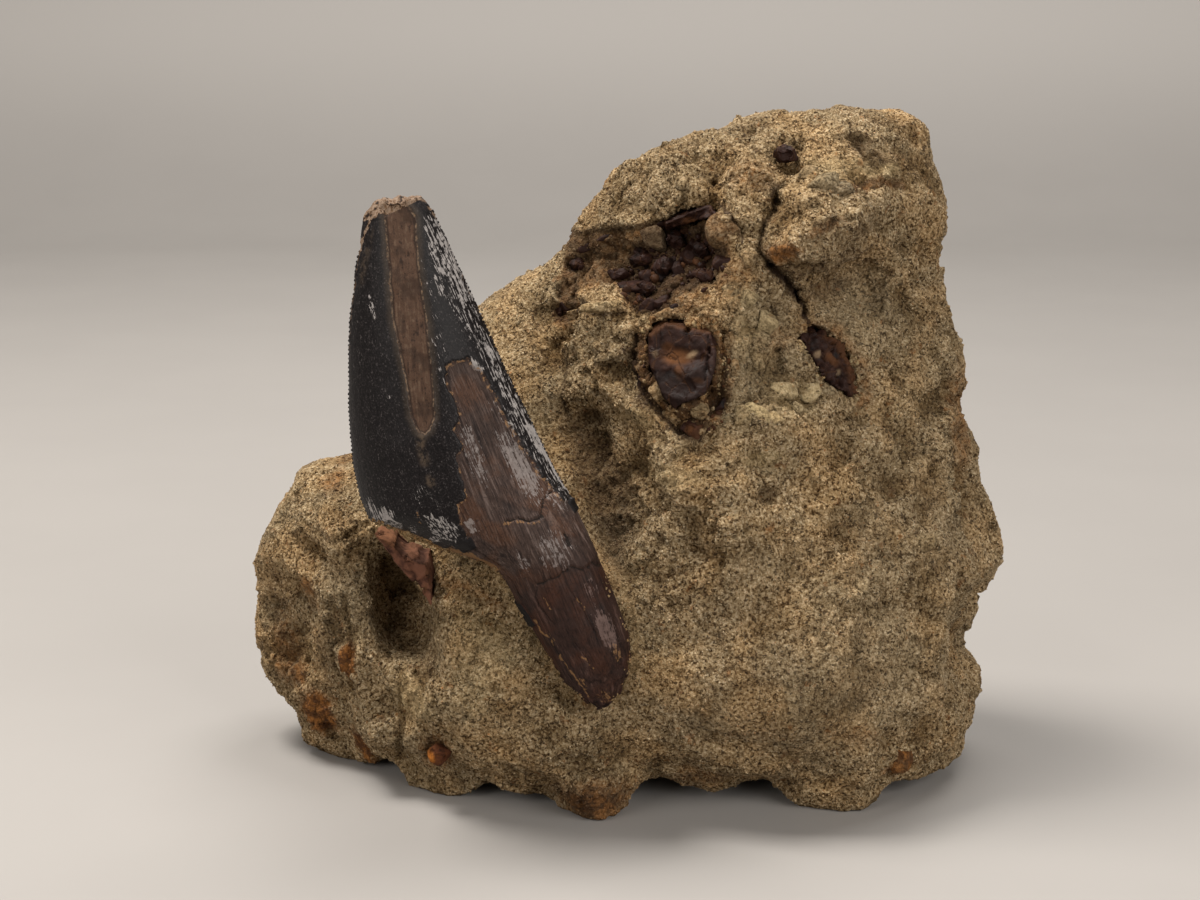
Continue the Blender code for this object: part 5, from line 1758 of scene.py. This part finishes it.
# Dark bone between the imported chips, and along the recess's upper edge.
BONE_CHUNKS = (
    Stone(1.5, 68.4, 1.4, 1.0, 20), Stone(2.6, 66.9, 1.3, 1.0, -30), Stone(0.3, 65.4, 2.2, 1.4, -10),
    Stone(4.4, 67.5, 1.6, 1.8, 12), Stone(3.3, 65.4, 1.1, 0.7, -25, stain=(0.0, 0.0, 0.35, 0.0)),
    Stone(2.4, 63.4, 1.8, 1.2, 5), Stone(4.2, 64.2, 1.3, 1.1, 35), Stone(5.3, 63.7, 1.0, 0.8, 60),
    Stone(1.7, 69.7, 1.3, 1.1, 0), Stone(7.7, 69.5, 1.6, 1.5, -10), Stone(9.2, 70.4, 1.1, 1.2, 40),
    Stone(10.2, 71.4, 1.3, 0.8, 50), Stone(11.5, 69.7, 1.6, 0.9, 14), Stone(9.1, 74.6, 1.6, 0.8, 25),
    Stone(6.6, 74.1, 1.3, 0.6, 10), Stone(4.6, 73.7, 1.1, 0.5, 8), Stone(-5.4, 69.9, 1.5, 0.9, 20, sunk=0.6),
    Stone(-6.2, 68.1, 1.4, 0.7, 10, sunk=0.7), Stone(-8.3, 62.2, 0.7, 1.0, 20),
    Stone(-9.3, 61.4, 0.6, 0.9, -10),
    Stone(6.2, 67.9, 1.1, 1.2, 15), Stone(6.0, 71.4, 1.3, 1.1, -20), Stone(-0.8, 67.0, 1.0, 0.7, 15),
    Stone(1.4, 66.6, 0.9, 0.5, -25, stain=(0.0, 0.0, 0.5, 0.0)), Stone(9.0, 66.3, 0.8, 0.5, 20, sunk=0.6),
    Stone(-3.0, 71.3, 1.2, 0.5, 12, sunk=0.6), Stone(8.0, 49.2, 1.1, 1.3, 0, stain=(0.3, 0.0, 0.0, 0.0)),
    Stone(11.6, 52.6, 0.8, 1.6, -30, sunk=0.7), Stone(1.6, 54.4, 0.8, 1.8, 10, sunk=0.7),
)
RECESS = (
    (-1.6, 65.4), (-1.4, 67.4), (0.6, 69.6), (3.6, 71.8), (7.0, 73.0), (9.6, 72.6), (11.4, 70.4),
    (12.4, 68.4),
    (8.4, 67.0), (5.6, 66.0), (4.2, 63.8), (0.6, 63.6))
COLLAR = (
    (1.0, 56.8), (1.4, 62.0), (5.0, 63.4), (11.6, 63.2), (13.2, 60.0), (12.8, 54.0), (11.0, 49.8),
    (7.4, 48.6),
    (3.0, 51.4))
BONE_OUTLINE = (
    (2.2, 57.2), (2.1, 60.0), (3.7, 61.4), (7.2, 61.2), (11.0, 61.9), (10.8, 59.3), (10.1, 56.3), (8.6, 54.0),
    (6.2, 52.6), (4.5, 52.8))
BONE_RIM = (
    (1.4, 60.6), (2.6, 62.2), (5.4, 62.4), (8.2, 62.3), (11.2, 62.7), (12.0, 60.4), (11.6, 57.6),
    (10.6, 55.0))
SPLINTER_RIM = (
    (22.2, 60.4), (21.2, 59.2), (22.4, 57.4), (24.2, 55.2), (26.4, 53.2), (28.6, 51.6), (29.4, 53.6),
    (28.4, 57.0))
# Runs of crumbs: where along the tooth's edge, or round which bone, then count, stray, half sizes and rust.
TOOTH_SEAMS = (
    (("front_edge", 0.2, 34.6, 46.4), 760, 0.34, (0.10, 0.46), (0.35, 0.8)),
    (("front_edge", 0.1, 46.4, 57.0), 90, 0.20, (0.08, 0.28), (0.2, 0.6)),
    (("front_edge", 0.3, 57.0, 66.2), 120, 0.30, (0.08, 0.30), (0.3, 0.7)),
    (("back_edge", -0.3, 66.2, 50.0), 130, 0.30, (0.08, 0.28), (0.3, 0.7)),
)
BONE_SEAMS = (
    (BONE_RIM, 190, 0.32, (0.12, 0.42), (0.0, 0.6)),
    (SPLINTER_RIM, 150, 0.38, (0.14, 0.50), (0.0, 0.35)),
)
GRAIN_MESHES = 4
GRAINS_EACH = 19500
GRANULES = 2300
# Stones of the block itself that can be told apart.
CLASTS = (
    Stone(12.2, 73.3, 2.3, 2.0, -32, (0.55, 0.52, 0.0, 0.1), 0.65),
    Stone(3.3, 71.8, 1.8, 1.7, 0, (0.15, 0.88, 0.0, 0.7), -0.3),
    Stone(0.7, 61.3, 2.0, 1.2, -15, (0.20, 0.10, 0.10, 0.0), 0.4),
    Stone(-6.8, 61.6, 1.5, 1.2, 10, (0.30, 0.10, 0.10, 0.0), 0.4),
    Stone(14.8, 70.0, 1.4, 1.3, 20, (0.10, 0.10, 0.10, 0.3), 0.4),
    Stone(14.6, 65.4, 1.4, 1.6, -10, (0.0, 0.05, 0.45, 0.4), 0.2),
    Stone(17.0, 62.2, 1.7, 1.5, 30, (0.0, 0.05, 0.55, 0.4), 0.2),
    Stone(15.9, 57.6, 1.2, 1.4, 10, (0.0, 0.08, 0.20, 0.3), 0.4),
    Stone(15.4, 67.8, 1.4, 0.8, 10, (0.20, 0.10, 0.10, 0.0), 0.4),
    Stone(3.6, 54.4, 1.2, 1.4, 20, (0.35, 0.10, 0.25, 0.0), 0.1),
    Stone(8.6, 52.2, 1.6, 1.2, -10, (0.35, 0.05, 0.30, 0.0), 0.1),
    Stone(5.6, 50.6, 1.8, 1.3, 15, (0.40, 0.10, 0.20, 0.0), 0.2),
    Stone(12.8, 56.6, 0.8, 2.0, -8, (0.45, 0.15, 0.15, 0.0), 0.3),
    Stone(12.4, 60.4, 0.7, 1.5, 5, (0.45, 0.15, 0.15, 0.0), 0.3),
    Stone(5.0, 63.6, 1.8, 0.8, 5, (0.40, 0.20, 0.10, 0.0), 0.4),
    Stone(9.6, 63.9, 1.6, 0.7, -5, (0.40, 0.20, 0.10, 0.0), 0.4),
    Stone(34.4, 7.0, 1.8, 1.5, 10, (1.30, 0.0, 0.1, 0.0), 0.35),
    Stone(-2.9, 63.7, 2.7, 1.0, 8, (0.0, 0.08, 0.28, 0.0), 0.5),
    Stone(15.2, 62.5, 1.4, 1.5, 10, (0.0, 0.08, 0.20, 0.5), 0.6),
    Stone(15.9, 60.3, 1.3, 0.9, 0, (0.0, 0.08, 0.08, 0.7), 0.6),
    Stone(13.6, 60.3, 0.8, 0.8, 0, (0.0, 0.08, 0.32, 0.0), 0.5),
    Stone(12.9, 66.2, 1.5, 1.2, 10, (0.0, 0.08, 0.16, 0.4), 0.6),
    Stone(19.5, 54.1, 1.8, 1.1, -8, (0.0, 0.05, 0.45, 0.5), 0.35),
    Stone(22.7, 53.6, 1.7, 1.3, 20, (0.0, 0.05, 0.55, 0.4), 0.25),
    Stone(20.9, 51.8, 1.4, 1.0, -15, (0.0, 0.05, 0.40, 0.6), 0.4),
    Stone(13.9, 51.2, 1.7, 1.4, 12, (0.15, 0.05, 0.45, 0.0), 0.75),
    Stone(15.9, 51.4, 1.9, 1.6, -8, (0.05, 0.0, 0.80, 0.0), 0.75),
    Stone(17.9, 50.9, 1.7, 1.2, 20, (0.10, 0.0, 0.60, 0.0), 0.75),
    Stone(16.4, 49.9, 1.8, 0.9, -4, (0.25, 0.05, 0.50, 0.0), 0.75),
    Stone(11.8, 51.2, 1.1, 0.9, 0, (0.0, 0.08, 0.16, 0.6), 0.6),
    Stone(17.0, 44.5, 1.7, 1.0, -28, (0.0, 0.08, 0.12, 0.5), 0.5),
    Stone(24.6, 55.6, 0.6, 0.6, 0, (0.0, 0.08, 0.08, 0.6), 0.4),
    Stone(24.7, 53.7, 1.0, 0.8, 0, (0.0, 0.08, 0.08, 0.6), 0.4),
    Stone(24.0, 79.4, 2.3, 1.7, 10, (0.0, 0.1, 0.1, 0.8), 0.1),
    Stone(26.0, 78.6, 1.6, 1.3, -20, (0.0, 0.3, 0.0, 0.8), 0.1),
    Stone(22.2, 80.6, 1.3, 1.0, 30, (0.1, 0.1, 0.1, 0.7), 0.2),
    Stone(28.8, 30.1, 1.2, 1.0, 0, (0.0, 0.08, 0.16, 0.4), 0.7),
    Stone(37.2, 34.3, 1.5, 1.3, 0, (0.0, 0.08, 0.16, 0.3), 0.7),
    Stone(-26.0, 33.0, 1.2, 0.8, 10, (0.0, 0.08, 0.24, 0.0), 0.6),
)


# ---------------------------------------------------------------- the studio


@dataclass
class Studio:
    """A pale floor that sweeps up behind, soft light and the camera."""

    target: tuple[float, float, float] = (-3.75, 0.0, 43.0)
    distance: float = 288.0
    elevation: float = 13.0
    lens: float = 65.0
    floor_front: float = -700.0
    floor_back: float = 520.0
    sweep: float = 260.0
    half_width: float = 1100.0
    wall: float = 900.0
    paint: Colour = (0.274, 0.260, 0.246)
    sky_tint: Colour = (1.0, 0.940, 0.870)
    sky_strength: float = 0.22
    # Each lamp's name, place, side, power and tint.
    lamps: tuple[tuple[str, tuple[float, float, float], float, float, Colour], ...] = (
        ("key_lamp", (-250.0, 30.0, 620.0), 220.0, 6.3, (1.0, 0.955, 0.90)),
        ("ceiling_lamp", (230.0, 240.0, 860.0), 500.0, 5.8, (1.0, 0.975, 0.945)),
        ("right_lamp", (420.0, -480.0, 330.0), 400.0, 3.8, (1.0, 0.965, 0.925)),
        ("left_lamp", (-460.0, -480.0, 330.0), 400.0, 2.3, (1.0, 0.960, 0.915)),
    )

    def backdrop(self) -> None:
        """The floor, swept up into a wall, with painted light that makes the sweep and wall lighter."""
        work = bmesh.new()
        edge = [work.verts.new((-self.half_width, self.floor_front, 0.0)),
                work.verts.new((self.half_width, self.floor_front, 0.0))]
        line = work.edges.new(edge)
        drawn = bmesh.ops.extrude_edge_only(work, edges=[line])["geom"]
        verts = [item for item in drawn if isinstance(item, bmesh.types.BMVert)]
        bmesh.ops.translate(work, vec=(0.0, self.floor_back - self.floor_front, 0.0), verts=verts)
        bend = bmesh.ops.spin(
            work, geom=[item for item in drawn if not isinstance(item, bmesh.types.BMFace)],
            cent=(0.0, self.floor_back, self.sweep), axis=(1.0, 0.0, 0.0), angle=math.pi / 2.0,
            steps=24)["geom_last"]
        rise = bmesh.ops.extrude_edge_only(
            work, edges=[item for item in bend if isinstance(item, bmesh.types.BMEdge)])["geom"]
        bmesh.ops.translate(work, vec=(0.0, 0.0, self.wall),
                            verts=[item for item in rise if isinstance(item, bmesh.types.BMVert)])
        bmesh.ops.remove_doubles(work, verts=work.verts, dist=0.01)
        bmesh.ops.recalc_face_normals(work, faces=work.faces)
        item = from_bmesh("floor", work)
        item.data.shade_smooth()
        shade = Shade("pale_floor")
        cloudy = shade.noise(60.0, 3.0)
        colour = shade.mix(cloudy.step(0.35, 0.65), self.paint, tuple(0.975 * part for part in self.paint))
        # Painted light: from 10 to 80 mm up, the sweep and the wall are painted lighter, up to 1.26 times the
        # floor's paint.
        height = shade.node("ShaderNodeSeparateXYZ", {}, {0: shade.place()})[2]
        colour = shade.mix(height.step(10.0, 80.0), colour, tuple(1.26 * part for part in self.paint))
        item.data.materials.append(shade.finish(colour, 0.55, None, 0.3))

    def light(self, name: str, at: tuple[float, float, float], size: float, power: float,
              tint: Colour) -> None:
        """A square lamp that looks at the specimen.

        Args:
            name: Name of the lamp.
            at: Where it hangs, in millimetres.
            size: Its side in millimetres.
            power: Its power in watts.
            tint: Its colour.
        """
        lamp = bpy.data.lights.new(name, "AREA")
        lamp.shape = "SQUARE"
        lamp.size = size * MM
        lamp.energy = power
        lamp.color = tint
        made = bpy.data.objects.new(name, lamp)
        bpy.context.scene.collection.objects.link(made)
        made.location = Vector(at) * MM
        aim = Vector(self.target) - Vector(at)
        made.rotation_euler = aim.to_track_quat("-Z", "Y").to_euler()

    def build(self) -> None:
        """Set up the floor, the light and the camera."""
        self.backdrop()
        for lamp in self.lamps:
            self.light(*lamp)
        world = bpy.data.worlds.new("soft_light")
        bpy.context.scene.world = world
        world.use_nodes = True
        sky = world.node_tree.nodes["Background"]
        sky.inputs["Color"].default_value = (*self.sky_tint, 1.0)
        sky.inputs["Strength"].default_value = self.sky_strength

        camera = bpy.data.cameras.new("camera")
        camera.lens = self.lens
        camera.sensor_width = 36.0
        camera.clip_start = 0.01
        made = bpy.data.objects.new("camera", camera)
        bpy.context.scene.collection.objects.link(made)
        tilt = math.radians(self.elevation)
        back = Vector((0.0, -math.cos(tilt), math.sin(tilt)))
        made.location = (Vector(self.target) + back * self.distance) * MM
        made.rotation_euler = (-back).to_track_quat("-Z", "Y").to_euler()
        bpy.context.scene.camera = made
        bpy.context.scene.view_settings.view_transform = "Standard"


# ---------------------------------------------------------------- putting it together


def bits_of_bone() -> list[BeddedPiece]:
    """The bedded bits, with what is peculiar to each."""
    bits = [BeddedPiece(f"bone_chip_{number}", Slot.BONE, planes=14) for number in range(1, 11)]
    bits.append(BeddedPiece(
        "bone_fragment", Slot.BONE, voxel=0.2, soften=2, facet=2.3, facet_reach=0.34,
        lumps=((1.3, 0.08, 2.0), (0.5, 0.05, 5.0)),
        cracks=(Trail(((9.6, 61.4), (9.4, 58.6), (9.0, 56.4)), 0.24, 0.8),),
        rust=(Spot(5.8, 58.9, 2.6, 1.3, 0.75, turn=8), Spot(4.6, 59.9, 1.2, 0.9, 0.4),
              Spot(6.0, 57.2, 0.8, 1.4, 0.5),
              Spot(8.4, 56.3, 1.0, 0.5, 0.5), Trail(((2.3, 61.0), (4.2, 62.4), (9.9, 61.9)), 0.4, 0.35)),
        chalk=(Spot(7.5, 59.3, 1.1, 0.45, 0.6, turn=30, edge=0.7), Spot(3.1, 59.1, 0.5, 0.7, 0.45)),
        dirt_and_shade=(Patch(((2.0, 57.6), (5.2, 57.4), (10.6, 58.6), (10.2, 53.0), (2.6, 52.6)), 0.60, 0.8),
              Patch(((2.2, 58.6), (2.6, 61.2), (4.2, 61.4), (3.4, 57.6)), 0.5, 0.5),
              Spot(8.6, 60.4, 1.8, 0.9, 0.4)),
        forms=(Patch(((3.2, 58.2), (3.9, 60.6), (7.2, 60.3), (9.4, 60.5), (9.2, 58.4), (6.4, 57.4)), -0.35,
                     0.9),
               Spot(8.0, 56.8, 2.0, 1.6, 0.3)),
    ))
    bits.append(BeddedPiece(
        "bone_splinter", Slot.BONE, voxel=0.2, facet=1.2, facet_reach=0.55,
        lumps=((1.6, 0.80, 2.0), (0.6, 0.22, 5.0)),
        rust=(Trail(((25.0, 60.4), (26.7, 58.9), (28.9, 52.6)), 0.8, 0.4),
              Spot(25.4, 57.4, 1.6, 0.9, 0.5, turn=-50)),
        chalk=(Spot(23.6, 58.2, 0.8, 0.6, 0.5), Spot(26.4, 55.8, 0.6, 0.5, 0.4))))
    bits.append(BeddedPiece("bone_strip", Slot.BONE, rust=(Spot(7.6, 74.4, 1.4, 0.6, 0.5),)))
    bits[8].rust = (Spot(7.4, 49.9, 1.0, 0.9, 0.45, edge=0.6),)
    return bits


def seam_crumbs(tooth: Tooth) -> list[Stone]:
    """Crumbs along the tooth's seams and round the bits of bone."""
    runs = [(tooth.edge_line(*stretch), *spread) for stretch, *spread in TOOTH_SEAMS] + list(BONE_SEAMS)
    return [crumb for number, run in enumerate(runs) for crumb in strung(*run, Seed.SEAM_RUNS + number)]


def build_block(tooth: Tooth, crown: bpy.types.Object, bone: bpy.types.Material) -> None:
    """Build the block with its grains, its stones and the strewn bone.

    Args:
        tooth: The tooth, which the sand stays clear of.
        crown: The finished tooth, on which some crumbs lie.
        bone: The finish of the bone.
    """
    stone = SandstoneFinish()
    block = SandstoneBlock(tooth).build()
    solid = stone.material("sandstone", loose=False)
    dress(block, solid, Slot.SANDSTONE, "matrix")
    loose = stone.material("sandstone_grains", loose=True)
    for number in range(GRAIN_MESHES):
        grains = SandGrains(block, tooth, f"sand_grains_{number + 1}", GRAINS_EACH, 0, (0.10, 0.31), 0.2,
                            seed=Seed.GRAINS + number)
        dress(grains.build(), loose, Slot.SANDSTONE)
    granules = SandGrains(block, tooth, "sand_granules", GRANULES, 2, (0.30, 1.0), 0.6, 0.25,
                          seed=Seed.GRANULES)
    dress(granules.build(), solid, Slot.SANDSTONE)
    work = bmesh_of(block)
    surface = BVHTree.FromBMesh(work)
    work.from_mesh(crown.data)
    both = BVHTree.FromBMesh(work)
    work.free()
    dress(Bedding(both, "seam_crumbs", seam_crumbs(tooth), detail=2, seed=Seed.SEAM_CRUMBS).build(),
          solid, Slot.SANDSTONE)
    dress(Bedding(surface, "sandstone_clasts", CLASTS).build(), solid, Slot.SANDSTONE)
    collar = [spot for spot in strewn(COLLAR, 170, (0.15, 0.55), (0.0, 0.55), Seed.COLLAR)
              if depth_inside(np.array([spot.x]), np.array([spot.z]), BONE_OUTLINE)[0] < 0.2]
    dress(Bedding(surface, "rusty_granules", collar, detail=2, seed=Seed.RUSTY_GRANULES).build(), solid,
          Slot.SANDSTONE)
    dress(Bedding(surface, "bone_chunks", BONE_CHUNKS, seed=Seed.BONE_CHUNKS).build(), bone, Slot.BONE)
    crumbs = strewn(RECESS, 230, (0.2, 0.75), (-0.6, 0.5), Seed.RECESS_CRUMBS)
    crumbs += strewn(COLLAR, 24, (0.2, 0.6), (0.0, 0.6), Seed.COLLAR_CRUMBS)
    dress(Bedding(surface, "bone_crumbs", crumbs, detail=2, seed=Seed.BONE_CRUMBS).build(), bone, Slot.BONE)


def main() -> None:
    """Build the specimen and its studio."""
    logging.basicConfig(level=logging.INFO, format="%(message)s")
    noise.seed_set(SEED)
    studio = Studio()
    studio.build()

    tooth = Tooth()
    enamel = ToothFinish().material("fossil_tooth")
    crown = tooth.build()
    dress(crown, enamel, Slot.TOOTH, "tooth")
    dress(Serrations(tooth).build(), enamel, Slot.TOOTH)

    bone = BoneFinish().material("fossil_bone")
    build_block(tooth, crown, bone)
    for bit in bits_of_bone():
        dress(bit.build(), bone, bit.slot, bit.node)
    rusty = BoneFinish(body=(0.062, 0.021, 0.009), dark=(0.016, 0.007, 0.004), sheen=(0.120, 0.045, 0.016),
                       rust=(0.260, 0.090, 0.016), crack_size=1.2, rough=0.7)
    nodule = BeddedPiece("ironstone_nodule", Slot.IRONSTONE, planes=10, stretch=(1.35, 1.0, 1.05),
                         rust=(Spot(-25.3, 7.6, 0.8, 1.0, 1.1, edge=0.6),),
                         dirt_and_shade=(Spot(-24.0, 6.0, 1.1, 1.4, 0.8),))
    dress(nodule.build(), rusty.material("ironstone"), Slot.IRONSTONE, nodule.node)
    red_root = BoneFinish(body=(0.104, 0.044, 0.026), dark=(0.034, 0.014, 0.009), sheen=(0.132, 0.063, 0.039),
                          rust=(0.190, 0.085, 0.036), crack_size=5.0, rough=0.66)
    loose_root = BeddedPiece(
        "root_fragment", Slot.ROOT, voxel=0.2, soften=2, facet=3.0, facet_reach=0.45,
        lumps=((2.4, 0.12, 2.0), (0.6, 0.04, 5.0)),
        cracks=(Trail(((-29.0, 35.9), (-27.4, 34.2), (-24.6, 33.6)), 0.30, 1.0),
                Trail(((-28.2, 33.0), (-26.8, 32.4), (-26.4, 30.8)), 0.26, 0.9),
                Trail(((-26.4, 30.4), (-24.8, 30.2)), 0.28, 0.9)),
        rust=(Trail(((-31.0, 37.4), (-28.0, 35.3), (-25.0, 34.0)), 0.7, 0.45),),
    )
    dress(loose_root.build(), red_root.material("fossil_root"), Slot.ROOT, loose_root.node)


if __name__ == "__main__":
    main()
